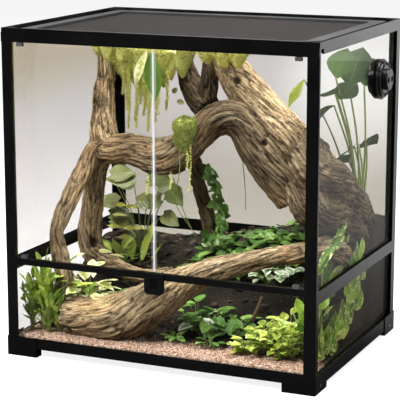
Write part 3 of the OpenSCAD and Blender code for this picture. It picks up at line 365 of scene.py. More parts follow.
def greens(name, dark, mid, light, vein, patch=None, amount=0.0, rough=0.36, specular=0.45, thin=0.18):
    """Leaf with veins, spots of the patch colour where one is given, and some light that passes through."""
    m = Nodes(name)
    tone = m.stored("tone")
    uv = m.new("UVMap", uv_map="UVMap").outputs[0]
    xyz = m.new("SeparateXYZ", {0: uv})
    across = m.math("ABSOLUTE", m.math("SUBTRACT", xyz.outputs[0], 0.5))
    p = m.where()
    blot = m.noise(p, 70.0, 3.0)
    fac = m.plus(m.times(tone, 0.8), blot, 0.25)
    fac = m.plus(fac, m.math("SUBTRACT", xyz.outputs[1], 0.5), -0.16)
    body = m.ramp(fac, [(0.1, dark), (0.5, mid), (0.95, light)])
    if patch:
        spots = m.noise(m.scaled(p, (110.0, 110.0, 110.0)), 1.0, 3.0, 0.6, 0.8)
        edge = m.times(across, 0.55)
        body = m.mix(m.ramp(m.plus(spots, edge), [(0.72 - amount, (0, 0, 0)), (0.8 - amount, (1, 1, 1))]), body,
            patch)
    rib = m.ramp(across, [(0.0, (1, 1, 1)), (0.045, (0, 0, 0))])
    ribbed = m.mix(m.times(rib, 0.6), body, vein)
    wave = m.math("SINE", m.plus(m.times(xyz.outputs[1], 44.0), across, -26.0))
    stalk = m.math("LESS_THAN", tone, -0.5)
    color = m.mix(stalk, ribbed, (0.26, 0.32, 0.08))
    b = m.bump(m.plus(blot, wave, 0.35), 0.35, 0.0012)
    m.finish(color, m.plus(rough - 0.08, blot, 0.18), b, specular)
    glow = m.new("BsdfTranslucent", {"Color": color})
    return m.show(m.new("MixShader", {0: thin, 1: m.shader.outputs[0], 2: glow.outputs[0]}))


def moss_material(name, dark, light):
    """Granular moss: light tips over a dark base."""
    m = Nodes(name)
    tone = m.stored("tone")
    p = m.where()
    grain = m.noise(p, 230.0, 3.0, 0.75)
    broad = m.noise(p, 28.0, 3.0)
    fac = m.plus(m.times(tone, 0.45), grain, 1.15)
    color = m.ramp(m.plus(fac, broad, 0.3), [(0.5, [c * 0.2 for c in dark]), (0.61, dark), (0.77, light)])
    return m.finish(color, 0.85, m.bump(grain, 1.0, 0.004), 0.15)


def ground():
    """Red gravel in front that turns into dark soil behind."""
    m = Nodes("ground")
    p = m.where()
    wob = m.noise(p, 16.0, 4.0)
    cells = m.new("TexVoronoi", {"Vector": p, "Scale": 330.0})
    tone = m.axis(cells.outputs["Color"], 0)
    stones = m.ramp(tone, [(0.0, (0.22, 0.11, 0.07)), (0.35, (0.46, 0.28, 0.2)), (0.7, (0.64, 0.46, 0.35)),
        (1.0, (0.8, 0.67, 0.56))])
    crumbs = m.noise(p, 240.0, 5.0)
    soil = m.ramp(m.plus(m.times(crumbs, 0.7), wob, 0.3), [(0.34, (0.005, 0.0045, 0.003)),
        (0.52, (0.018, 0.014, 0.009)), (0.66, (0.05, 0.037, 0.022)), (0.75, (0.11, 0.08, 0.05))])
    depth = m.axis(p, 1)
    edge = m.plus(depth, wob, 0.13)
    back = m.span(edge, -0.092, -0.064)
    color = m.mix(back, stones, soil)
    height = m.plus(crumbs, cells.outputs["Distance"], -1.2)
    return m.finish(color, 0.85, m.bump(height, 0.9, 0.0025), 0.2)


WIRE = metal("mesh_wire", (0.062, 0.057, 0.056), 0.45)
# each pane is crossed at both faces, so a tint counts twice
PANE = glass("pane_clear", (0.98, 0.985, 0.98), 0.25)
DOOR_PANE = glass("door_clear", (0.985, 0.985, 0.985), 0.15)
# the grey tint of the left and back panes and the colours that the panes turn to near the ground, the lid and the
# right end are painted shade and light on the backdrop seen through them
RIGHT_PANE = glass("right_clear", (0.965, 0.965, 0.955), 0.06, (0.9, 0.89, 0.86), (0.16, 0.24))
LEFT_PANE = glass("left_clear", (0.8, 0.784, 0.776), 0.15, (0.8, 0.79, 0.785), (0.16, 0.42), (0.75, 0.705, 0.62))
BACK_PANE = glass("back_clear", (0.82, 0.8, 0.79), 0.15, (0.56, 0.54, 0.5), (0.26, 0.54), None, (0, 1),
    (0.98, 0.972, 0.963), (0.05, 0.2))
WOOD = wood()
GROUND = ground()


def seam_material():
    """Clear strip with a bright middle, on the line where the doors meet."""
    m = Nodes("seam_clear")
    p = m.where()
    n = m.noise(m.scaled(p, (20.0, 20.0, 6.0)), 1.0, 3.0)
    color = m.ramp(n, [(0.3, (0.66, 0.69, 0.7)), (0.7, (0.86, 0.88, 0.88))])
    strip = frame["nodes"]["door_seam_strip"]
    middle = sum((strip.matrix_world @ Vector(c)).x for c in strip.bound_box) / 8
    off = m.math("ABSOLUTE", m.math("SUBTRACT", m.axis(p, 0), middle))
    mat = m.finish(color, 0.3, m.bump(n, 0.1, 0.0005), 0.5)
    solid = m.span(off, 0.001, 0.002, 0.85, 0.1)
    m.link(solid, m.shader.inputs["Alpha"])
    return mat


# name, dark and light colour, roughness, specular level, and size and strength of the grain where they differ
PLASTICS = (("frame_black", (0.0012, 0.0012, 0.0013), (0.0024, 0.0024, 0.0026), 0.24, 0.24),
    ("thumb_black", (0.0012, 0.0012, 0.0012), (0.0024, 0.0024, 0.0024), 0.42, 0.08, 1500.0, 0.25),
    ("port_black", (0.003, 0.003, 0.0034), (0.006, 0.006, 0.0065), 0.22, 0.25),
    ("screen_black", (0.01, 0.01, 0.01), (0.017, 0.017, 0.018), 0.38, 0.5, 1400.0, 0.3),
    ("hinge_grey", (0.03, 0.03, 0.032), (0.06, 0.06, 0.065), 0.35, 0.3))
SLOT_MATERIALS = {name: plastic(name, *look) for name, *look in PLASTICS}
SLOT_MATERIALS.update(fixed_glass=PANE, door_glass=DOOR_PANE, seam_clear=seam_material(), mesh_wire=WIRE,
    screw_steel=metal("screw_steel", (0.62, 0.62, 0.63), 0.28), bedding_soil=GROUND, driftwood=WOOD)
PANE_MATERIALS = {f"{level}_pane_{side}": pane for level in ("upper", "lower")
    for side, pane in (("left", LEFT_PANE), ("right", RIGHT_PANE), ("back", BACK_PANE))}
for part in frame["record"]["subparts"]:
    material = SLOT_MATERIALS.get(part["material_slot"], WOOD)
    for s in frame["nodes"][part["node"]].material_slots:
        s.material = PANE_MATERIALS.get(part["node"], material)

# ---- driftwood

ARCH = [
    # left limb, from the lid down to the fork
    [[-211, 8, 556, 19], [-211, 8, 529, 18], [-212, 5, 497, 19], [-213, 0, 474, 21], [-215, 0, 439, 23],
     [-215, -5, 399, 28], [-209, -5, 364, 31]],
    # front leg
    [[-211, -10, 370, 27], [-229, -20, 357, 20], [-239, -40, 318, 21], [-246, -75, 279, 18],
     [-253, -105, 245, 18], [-252, -125, 218, 15], [-247, -132, 191, 16], [-238, -138, 168, 17],
     [-229, -140, 127, 19], [-226, -140, 56, 20]],
    # rear leg and the root that runs along the ground
    [[-216, 0, 355, 25], [-232, 4, 311, 20], [-243, 4, 249, 22], [-248, 0, 193, 24], [-237, -5, 154, 24],
     [-194, -15, 134, 20], [-139, -35, 127, 16], [-84, -60, 132, 15], [-33, -85, 150, 15]],
    # wavy limb over the hump and down to the right
    [[-209, -5, 364, 31], [-182, -8, 362, 31], [-156, -8, 364, 30], [-128, -8, 360, 33], [-98, -5, 352, 37],
     [-63, 0, 360, 37], [-33, 5, 382, 32], [-10, 8, 408, 32], [15, 12, 429, 33], [41, 18, 435, 34],
     [65, 24, 422, 36], [94, 28, 380, 39], [126, 34, 332, 41], [159, 44, 283, 38]],
    # heavy trunk from the lid to the rear right corner
    [[3, 72, 560, 28], [10, 72, 535, 29], [36, 68, 498, 36], [74, 62, 458, 42], [105, 62, 421, 47],
     [134, 70, 382, 53], [160, 84, 343, 55], [189, 104, 307, 57], [216, 124, 272, 52], [236, 138, 240, 46]],
    # root mass behind the right pane, down to the rear right corner
    [[195, 20, 372, 42], [232, -40, 352, 42], [244, 4, 330, 42], [247, 68, 290, 42], [250, 130, 248, 38],
     [254, 172, 208, 33]],
    [[205, -14, 320, 42], [236, -60, 290, 38], [246, 2, 266, 40], [249, 66, 230, 38], [252, 130, 195, 34]],
    [[199, 140, 283, 50], [234, 160, 250, 41]],
    # limbs behind the hump, darkened by their tones: painted shade, partly their own colour
    [[-91, 96, 552, 17], [-86, 94, 522, 17], [-76, 92, 491, 23], [-56, 84, 460, 27], [-24, 68, 437, 29]],
    [[-24, 84, 552, 16], [-29, 80, 491, 19], [-29, 70, 450, 21]],
    # thin leg at the back
    [[-43, 30, 358, 15], [-44, 52, 329, 14], [-45, 70, 288, 15], [-38, 82, 245, 15], [-29, 92, 190, 16],
     [-22, 96, 150, 18]],
]
LOG = [[[-211, -158, 70, 40], [-168, -160, 71, 43], [-102, -158, 76, 47], [-47, -152, 105, 44], [-7, -142, 133, 37],
    [43, -128, 164, 27], [114, -108, 188, 22], [167, -92, 202, 20], [218, -74, 212, 19], [262, -48, 220, 22],
    [262, 20, 190, 26]], [[-47, -152, 91, 33], [-28, -150, 70, 22]]]
VOXEL = 0.0028
CHUNK = 4000  # points of the wood that are measured at once
LIMB_APART = 613.0  # between the grain of one limb and the next
# columns of a sample of a limb
CENTRE, RADIUS, TANGENT, NORMAL, SIDE, ALONG, LIMB = slice(3), 3, slice(4, 7), slice(7, 10), slice(10, 13), 13, 14


def driftwood(name, limbs, node, knots, tones, bark=()):
    """Limbs of [x, y, z, radius] joined by a voxel remesh. tones lightens or darkens each limb with painted light
    and shade, partly the limbs' own colour; a knot is [x, y, z, size] and a patch of torn bark [x, y, z, size,
    height]."""
    verts, faces, samples, count = [], [], [], 0
    for k, path in enumerate(limbs):
        pts = curve_points(path, 7.0)
        v, f = tube(pts, pts[:, 3] * 0.96, 18)
        faces += [tuple(count + i for i in q) for q in f]
        verts.append(v)
        count += len(v)
        along = np.concatenate([[0], np.cumsum(norm(np.diff(pts[:, :3], axis=0), axis=1))])
        samples.append(np.column_stack([pts, *frames(pts), along + LIMB_APART * k, np.full(len(pts), k)]))
    raw = bpy.data.meshes.new(name + "_raw")
    raw.from_pydata((np.concatenate(verts) / 1000).tolist(), [], faces)
    tmp = add_object(name + "_raw", raw)
    mod = tmp.modifiers.new("remesh", "REMESH")
    mod.mode = "VOXEL"
    mod.voxel_size = VOXEL
    sm = tmp.modifiers.new("smooth", "SMOOTH")
    sm.factor = 0.6
    sm.iterations = 10
    ev = tmp.evaluated_get(bpy.context.evaluated_depsgraph_get())
    me = bpy.data.meshes.new_from_object(ev)
    bpy.data.objects.remove(tmp)
    v, nrm = np.empty((2, len(me.vertices) * 3))
    me.vertices.foreach_get("co", v)
    me.vertices.foreach_get("normal", nrm)
    v, nrm = v.reshape(-1, 3) * 1000, nrm.reshape(-1, 3)
    faces = [tuple(p.vertices) for p in me.polygons]
    bpy.data.meshes.remove(me)
    s = np.concatenate(samples)
    limb = np.empty((len(v), 3))
    move, groove, shade = np.empty((3, len(v)))
    starts = np.flatnonzero(np.diff(s[:, LIMB], prepend=-1))
    for a in range(0, len(v), CHUNK):
        chunk = v[a:a + CHUNK]
        gap = norm(chunk[:, None] - s[None, :, CENTRE], axis=2) - s[None, :, RADIUS]
        best = s[np.argmin(gap, axis=1)]
        near = np.minimum.reduceat(gap, starts, axis=1)
        weight = np.exp(-(near - near.min(axis=1)[:, None]) / 6.0)
        shade[a:a + CHUNK] = (weight * tones).sum(axis=1) / weight.sum(axis=1)
        d = chunk - best[:, CENTRE]
        ahead, out, up = (np.einsum("ij,ij->i", d, best[:, part]) for part in (TANGENT, NORMAL, SIDE))
        s_along = best[:, ALONG] + ahead
        ang = np.arctan2(up, out) + s_along / 210.0
        r = best[:, RADIUS]
        cx, sx = np.cos(ang), np.sin(ang)
        limb[a:a + CHUNK] = np.column_stack([s_along, cx * r, sx * r]) / 1000
        for i in range(len(chunk)):
            z, c, q, rr = s_along[i], cx[i], sx[i], r[i]
            lobes = noise.noise((z / 70, c * 1.5 + 9, q * 1.5))
            ridges = noise.noise((z / 60 + 40, c * rr / 9, q * rr / 9))
            small = noise.noise((z / 26 + 80, c * rr / 4, q * rr / 4))
            g = max(0.0, 1.0 - 5.0 * abs(ridges)) ** 1.5
            move[a + i] = 0.13 * rr * lobes - 3.4 * g + 2.4 * small
            groove[a + i] = g
    # knots and torn bark raise groove, which the bark material paints dark: painted shade in the pits, partly darker
    # bark in the patches
    for x, y, z, size in knots:
        far = norm(v - [x, y, z], axis=1) / size
        pit = np.clip(1 - far ** 2, 0, 1)
        move -= pit * size * 1.1
        groove = np.maximum(groove, np.clip(pit * 2.2, 0, 1))
    for x, y, z, size, tall in bark:
        far = norm((v - [x, y, z]) / [size, size, tall], axis=1)
        rough = np.array([noise.noise(tuple(q / 5)) + 0.6 * noise.noise(tuple(q / 14)) for q in v[far < 1]])
        pit = np.clip(1.6 * (1 - far[far < 1]), 0, 1)
        move[far < 1] += pit * (2.5 * rough + 1.5)
        groove[far < 1] = np.maximum(groove[far < 1], pit * np.clip(0.75 + 0.9 * rough, 0, 1))
    v = v + nrm * move[:, None]
    ob = make_piece(name, v, faces, WOOD, extra={"limb": limb, "groove": groove, "shade": shade})
    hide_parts(node)


# tones: painted light and shade on each limb, partly the limbs' own colour
driftwood("driftwood_arch_wood", ARCH, "driftwood_arch", knots=[(48, 30, 503, 10), (115, 6, 392, 9),
    (-231, -18, 175, 11), (60, 30, 452, 6)], tones=(1.75, 0.68, 0.72, 0.45, 1.42, 0.36, 0.27, 0.4, 0.2, 0.2, 0.25),
    bark=[(-222, -22, 445, 20, 50), (-133, -36, 409, 12, 9), (244, -30, 330, 60, 60), (256, 50, 285, 60, 60),
    (262, 130, 240, 60, 60), (232, -60, 285, 50, 40)])
driftwood("driftwood_log_wood", LOG, "driftwood_log", knots=[(-192, -196, 44, 10), (-150, -160, 112, 12)],
    tones=(0.75, 0.75))

# ---- bedding


def ease(t):
    c = np.clip(t, 0, 1)
    return c * c * (3 - 2 * c)


def deg_sin(a):
    return np.sin(np.radians(a))


def bed(x, y):
    """Height of the gravel and soil."""
    return (38 + 150 * ease((y + 110) / 260) * (0.75 + 0.25 * ease((x + 150) / 250)) + 40 * ease((y + 170) / 260) *
        ease((x - 40) / 230) + 2.5 * deg_sin(3 * x + 40) * deg_sin(4 * y) * ease((y + 210) / 60))


def bedding():
    nx, ny = 196, 146
    xs = np.linspace(-SOIL_X, SOIL_X, nx)
    ys = np.linspace(-SOIL_Y, SOIL_Y, ny)
    gx, gy = np.meshgrid(xs, ys)
    z = bed(gx, gy)
    lumps = np.array([noise.noise((x / 9, y / 9, 3)) * 1.3 + noise.noise((x / 34, y / 34, 7)) * 2.6 *
        float(ease((y + 150) / 80)) for x, y in zip(gx.ravel(), gy.ravel())]).reshape(gx.shape)
    edge = np.minimum.reduce([gx + SOIL_X, SOIL_X - gx, gy + SOIL_Y, SOIL_Y - gy])
    z = z + lumps * np.clip(edge / 6, 0, 1)
    whole = gx
    gx = np.where((gx > SOIL_SETBACK) & (gy < 120), SOIL_SETBACK + (gx - SOIL_SETBACK) * 0.08, gx)
    v = np.column_stack([gx.ravel(), gy.ravel(), z.ravel()])
    f = quads(ny, nx, closed=False)
    rim = (list(range(nx)) + [j * nx + nx - 1 for j in range(1, ny)] +
        [(ny - 1) * nx + i for i in range(nx - 2, -1, -1)] + [j * nx for j in range(ny - 2, 0, -1)])
    n = len(rim)
    base = len(v)
    rings = []
    for height, set_back in ((34.0, True), (30.0, False), (25.3, False)):
        ring = v[rim].copy()
        ring[:, 2] = np.minimum(ring[:, 2], height)
        if not set_back:
            ring[:, 0] = whole.ravel()[rim]
        rings.append(ring)
    v = np.vstack([v] + rings)
    f += [(rim[k], base + k, base + (k + 1) % n, rim[(k + 1) % n]) for k in range(n)]
    f += [(a, d, c, b) for a, b, c, d in quads(3, n, base=base)]
    f.append(tuple(base + 2 * n + k for k in reversed(range(n))))
    ob = make_piece("gravel_and_soil", v, f, GROUND)
    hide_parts("bedding")
    # loose grains on the gravel
    oct_v = np.array([[1, 0, 0], [0, 1, 0], [-1, 0, 0], [0, -1, 0], [0, 0, 1], [0, 0, -1]], float)
    oct_f = [(0, 1, 4), (1, 2, 4), (2, 3, 4), (3, 0, 4), (1, 0, 5), (2, 1, 5), (3, 2, 5), (0, 3, 5)]
    bag = Bag()
    for _ in range(5200):
        x = rng.uniform(-287, 287)
        y = -212 + abs(rng.normal()) * 34
        size = rng.uniform(1.1, 2.3)
        turn = rng.uniform(0, FULL_TURN)
        c, s = math.cos(turn), math.sin(turn)
        q = oct_v * size * rng.uniform(0.7, 1.2, 3)
        q = q @ np.array([[c, s, 0], [-s, c, 0], [0, 0, 1]])
        bag.add(q + [x, y, float(bed(x, y)) + 0.6], oct_f, np.zeros((6, 2)), rng.uniform())
    m = Nodes("grain")
    tone = m.stored("tone")
    col = m.ramp(tone, [(0.0, (0.19, 0.085, 0.055)), (0.4, (0.44, 0.26, 0.18)), (0.75, (0.62, 0.43, 0.32)),
        (1.0, (0.78, 0.64, 0.53))])
    speck = m.noise(m.where(), 900.0, 3.0)
    mat = m.finish(m.mix(0.4, col, m.ramp(speck, [(0.3, (0.5, 0.5, 0.5)), (0.7, (1, 1, 1))]), "MULTIPLY"), 0.8,
        m.bump(speck, 0.4, 0.0005), 0.25)
    grains = bag.piece("loose_grains", mat)


bedding()

# ---- plants

LEAF_GREEN = greens("leaf_green", (0.085, 0.165, 0.022), (0.28, 0.42, 0.055), (0.62, 0.72, 0.13), (0.6, 0.7, 0.25))
LEAF_CREAM = greens("leaf_cream", (0.14, 0.22, 0.03), (0.42, 0.52, 0.09), (0.7, 0.72, 0.24), (0.74, 0.74, 0.4),
    (0.86, 0.82, 0.5), 0.14)
LEAF_LIME = greens("leaf_lime", (0.054, 0.135, 0.014), (0.25, 0.39, 0.035), (0.58, 0.69, 0.105), (0.5, 0.6, 0.18),
    (0.8, 0.8, 0.25), 0.04)
LEAF_DARK = greens("leaf_dark", (0.025, 0.072, 0.015), (0.115, 0.26, 0.044), (0.34, 0.54, 0.125), (0.44, 0.58, 0.26),
    rough=0.28, specular=0.6)
LEAF_WHITE = greens("leaf_white_mottled", (0.03, 0.08, 0.02), (0.1, 0.22, 0.06), (0.28, 0.42, 0.16),
    (0.42, 0.52, 0.3), (0.72, 0.78, 0.62), 0.16)
LEAF_OLIVE = greens("leaf_olive", (0.04, 0.06, 0.018), (0.13, 0.165, 0.045), (0.3, 0.32, 0.11), (0.38, 0.4, 0.18))
LEAF_YELLOW = greens("leaf_yellow", (0.4, 0.45, 0.05), (0.76, 0.78, 0.12), (0.92, 0.92, 0.3), (0.8, 0.8, 0.36))
LEAF_SIDE = greens("leaf_side", (0.031, 0.098, 0.009), (0.125, 0.28, 0.019), (0.38, 0.55, 0.052), (0.33, 0.46, 0.11),
    (0.6, 0.62, 0.2), 0.02)
LEAF_TALL = greens("leaf_tall", (0.016, 0.04, 0.006), (0.034, 0.072, 0.011), (0.062, 0.108, 0.02), (0.1, 0.16, 0.05),
    rough=0.62, specular=0.1, thin=0.08)
LEAF_HANGING = greens("leaf_hanging", (0.018, 0.055, 0.007), (0.045, 0.125, 0.016), (0.12, 0.23, 0.03),
    (0.2, 0.32, 0.08), rough=0.4, specular=0.25)
LITTER = greens("leaf_litter", (0.018, 0.011, 0.006), (0.05, 0.03, 0.016), (0.13, 0.08, 0.04), (0.08, 0.05, 0.03),
    rough=0.6)
MOSS = moss_material("moss_green", (0.27, 0.3, 0.05), (0.92, 0.91, 0.29))
MOSS_HUMP = moss_material("moss_hump", (0.058, 0.088, 0.014), (0.34, 0.385, 0.095))
MOSS_GOLD = moss_material("moss_gold", (0.3, 0.29, 0.045), (0.93, 0.88, 0.26))


def on_bed(x, y, lift):
    """Point at a height over the soil."""
    return np.array([x, y, float(bed(x, y)) + lift])


def aim(azimuth, rise, roll=0.0):
    """Direction of a leaf and the way that its upper side looks, from angles in degrees."""
    a, r, q = (math.radians(v) for v in (azimuth, rise, roll))
    d = np.array([math.cos(a) * math.cos(r), math.sin(a) * math.cos(r), math.sin(r)])
    side = np.array([-math.sin(a), math.cos(a), 0.0])
    up = np.array([-math.cos(a) * math.sin(r), -math.sin(a) * math.sin(r), math.cos(r)])
    return d, up * math.cos(q) - side * math.sin(q)


def clump(bag, c, kind, fill, tone, stalk=0.9, low=0.35):
    """Clump of stalks from one root, each with a leaf: the main ones stand as in the CAD part, the rest fill it.
    A clump is [x, y, count, height, spread, leaf length, leaf width, rise of the leaves, turn]."""
    x, y, count, height, spread, length, width, rise, turn = c
    root = on_bed(x, y, -5.0)
    foot = on_bed(x, y, 0.0)
    for i in range(count + int(count * fill)):
        main = i < count
        part = math.sqrt((i + 0.5) / count) if main else math.sqrt(rng.uniform())
        a = turn + GOLDEN_ANGLE * i + (0 if main else rng.uniform(-60, 60))
        tall = 1.0 if main else rng.uniform(low, 0.98)
        far = spread * part * (1.0 if main else tall ** 0.5)
        top = foot + [far * math.cos(math.radians(a)), far * math.sin(math.radians(a)),
            height * (1 - 0.45 * part) * tall]
        bow = (root + top) / 2 + [0, 0, 0.05 * height]
        stem(bag, [root + rng.normal(size=3) * [1.5, 1.5, 0], bow, top], stalk, stalk * 0.6)
        size = 1.0 if main else rng.uniform(0.6, 1.0)
        d, up = aim(a + (0 if main else rng.uniform(-35, 35)), rise - 15 * (i % 3))
        leaf(bag, top, d, length * size, width * size * rng.uniform(0.9, 1.12), kind, rng.uniform(*tone), 0.12,
            face=up + rng.normal(size=3) * 0.12)


def spray(bag, foot, leaves, arch, thick, kind, tone, droop=0.06, size=1.03):
    """Leaves on separate stalks. A leaf is [x, y, z, azimuth, rise, roll, length, width]."""
    for x, y, z, azimuth, rise, roll, length, width in leaves:
        at = np.array([x, y, z], float)
        stem(bag, [foot, (foot + at) / 2 + arch, at], thick, thick * 0.7)
        d, up = aim(azimuth, rise, roll)
        leaf(bag, at, d, length * size, width * size, kind, rng.uniform(*tone), droop, 0.12, face=up)


LEFT_TUFTS = [[-256, -172, 12, 138, 14, 40, 13, 80, 20], [-222, -174, 7, 62, 14, 30, 12, 70, 80],
    [-196, -112, 8, 118, 36, 46, 24, 20, 75], [-146, -106, 7, 76, 30, 30, 20, 15, 10],
    [-206, 40, 8, 48, 34, 38, 16, 50, 40]]
BROAD_LEAVES = [[-243, 84, 291, 20, 10, -50, 50, 38], [-200, 96, 282, 200, 5, 45, 56, 42],
    [-160, 88, 290, -20, 10, -50, 58, 42], [-118, 92, 268, -35, -20, -45, 52, 38],
    [-228, 84, 238, 190, 0, 40, 50, 38], [-184, 80, 242, 10, 5, -45, 54, 40], [-246, 84, 210, 30, 0, -50, 44, 34],
    [-150, 92, 252, -60, -10, -40, 50, 36], [-208, 86, 196, 170, 0, 45, 46, 34],
    [-130, 88, 218, -20, -15, -50, 44, 32]]
UPRIGHT_LEAVES = [[-166, 62, 128, 60, 70, 0, 78, 28], [-190, 66, 126, 120, 62, 0, 54, 20],
    [-212, 66, 124, 150, 50, 0, 52, 18], [-150, 62, 126, 20, 55, 0, 54, 20], [-230, 60, 132, 160, 45, 0, 44, 16]]


def left_plants():
    grass, fancy, small = LEFT_TUFTS[0:2], LEFT_TUFTS[2], LEFT_TUFTS[3:]
    a = Bag()
    clump(a, grass[0], "lance", 6.0, (0.15, 1.0), low=0.2)
    clump(a, grass[1], "lance", 6.0, (0.2, 1.0), low=0.2)
    for x, y, h in ((-270, -150, 96), (-240, -186, 92), (-274, -186, 110)):
        clump(a, [x, y, 8, h, 15, 38, 12, 72, x], "lance", 3.5, (0.1, 1.0), low=0.2)
    clump(a, [-232, -142, 10, 132, 26, 38, 17, 45, 10], "ovate", 3.0, (0.3, 1.0), low=0.2)
    clump(a, [-196, -134, 8, 84, 30, 34, 16, 30, 40], "ovate", 2.0, (0.1, 0.8), low=0.2)
    left = a.piece("left_lance_leaves", LEAF_GREEN)
    b = Bag()
    clump(b, fancy, "ovate", 2.6, (0.2, 1.0))
    for x, y, z, azimuth, rise, roll, size in ((-176, -128, 172, -60, -35, -10, 40),
            (-166, -120, 186, -20, 15, -35, 34), (-196, -128, 182, -80, 10, 0, 36),
            (-148, -112, 180, 10, 0, -30, 30)):
        d, up = aim(azimuth, rise, roll)
        leaf(b, [x, y, z], d, size, size * 0.56, "ovate", 0.95, 0.1, 0.15, face=up)
    clump(b, [-178, -124, 8, 96, 34, 40, 22, 15, 30], "ovate", 1.0, (0.2, 1.0))
    cream = b.piece("left_cream_leaves", LEAF_CREAM)
    c = Bag()
    clump(c, small[0], "round", 1.8, (0.2, 0.9))
    dark = c.piece("left_dark_leaves", LEAF_DARK)
    d = Bag()
    foot, arch = on_bed(-178, 92, -6), np.array([0, 0, 18.0])
    front = [[*q[:5], -q[5], *q[6:]] for q in BROAD_LEAVES]
    behind = [[x + 12, y + 16, z - 24, azimuth + 40, rise, roll, length * 0.8, width * 0.8]
        for x, y, z, azimuth, rise, roll, length, width in front[::2]]
    spray(d, foot, front, arch, 1.3, "heart", (0.35, 0.95), 0.1)
    spray(d, foot, behind, arch, 1.1, "heart", (0.05, 0.6), 0.15)
    olive = d.piece("left_broad_leaves", LEAF_OLIVE)
    e = Bag()
    spray(e, on_bed(-182, 66, -6), UPRIGHT_LEAVES, np.zeros(3), 1.3, "lance", (0.45, 1.0))
    clump(e, small[1], "lance", 2.4, (0.3, 1.0))
    mid = e.piece("left_middle_leaves", LEAF_GREEN)
    f = Bag()
    for x, y, z, azimuth, size, wide in ((-232, 76, 233, -8, 34, 9), (-206, 74, 231, 5, 36, 9),
            (-180, 74, 232, 0, 30, 8), (-246, 70, 190, -10, 36, 10), (-218, 70, 188, 4, 38, 9),
            (-190, 68, 191, 8, 32, 8), (-236, 74, 212, 12, 30, 7), (-228, 70, 168, 10, 38, 9),
            (-214, 66, 152, -12, 30, 8)):
        leaf(f, [x, y, z], aim(azimuth, 4)[0], size, wide, "lance", rng.uniform(0.3, 1.0), 0.08, 0.2,
            face=[0.1, -0.75, 0.65], wave=0.09)
    fronds = f.piece("left_yellow_leaves", LEAF_YELLOW)
    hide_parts("plants_left")


RIGHT_TUFTS = [
    # bright clump at the front
    [206, -152, 12, 62, 34, 24, 17, 25, 10], [152, -160, 9, 32, 26, 22, 15, 20, 55],
    [236, -162, 8, 72, 24, 24, 16, 50, 30], [214, -122, 6, 74, 30, 26, 17, 30, 70],
    # dark clump behind it
    [58, -90, 8, 56, 36, 34, 25, 10, 30], [16, -80, 7, 62, 28, 32, 24, 15, 90], [104, -96, 6, 50, 32, 30, 23, 10, 0],
    # ground cover on the slope
    [-24, 42, 7, 30, 34, 28, 20, 15, 25], [34, 40, 8, 34, 36, 28, 20, 15, 60], [92, 36, 8, 36, 36, 28, 20, 15, 5],
    [148, 24, 8, 34, 30, 28, 20, 20, 40], [84, 92, 7, 30, 38, 26, 19, 15, 80],
    # leaves behind the right pane
    [254, -150, 5, 96, 10, 42, 19, 85, 15], [254, -92, 6, 80, 10, 42, 19, 85, 50],
    [254, -24, 6, 78, 10, 42, 19, 85, 85], [256, 52, 5, 60, 8, 40, 18, 85, 20]]
IVY_STEM = [[-30, 62, 180], [-8, 66, 198], [2, 68, 224], [-8, 70, 256], [-16, 70, 290], [-30, 64, 322]]


def pressed_leaves(bag):
    """Leaves that lie close to the inside of the right pane, over the soil."""
    for k in range(64):
        y = -196 + 270 * ((k * GOLDEN_RATIO) % 1.0)
        reach = max(46.0, float(bed(288, y)) - 4)
        low = 44 + 0.35 * max(0.0, y + 60)
        z = low + max(6.0, reach + 18 - low) * rng.uniform()
        d = aim(90 + rng.uniform(-30, 30), rng.uniform(-15, 85))[0]
        size = rng.uniform(0.65, 1.25)
        leaf(bag, [rng.uniform(280, 287), y, z], d * [0.12, 1, 1], 50 * size, 26 * size, ("lance", "ovate")[k % 2],
            rng.uniform(0.0, 1.0), 0.0, 0.18, face=[1, rng.uniform(-0.5, 0.2), rng.uniform(-0.1, 0.5)])


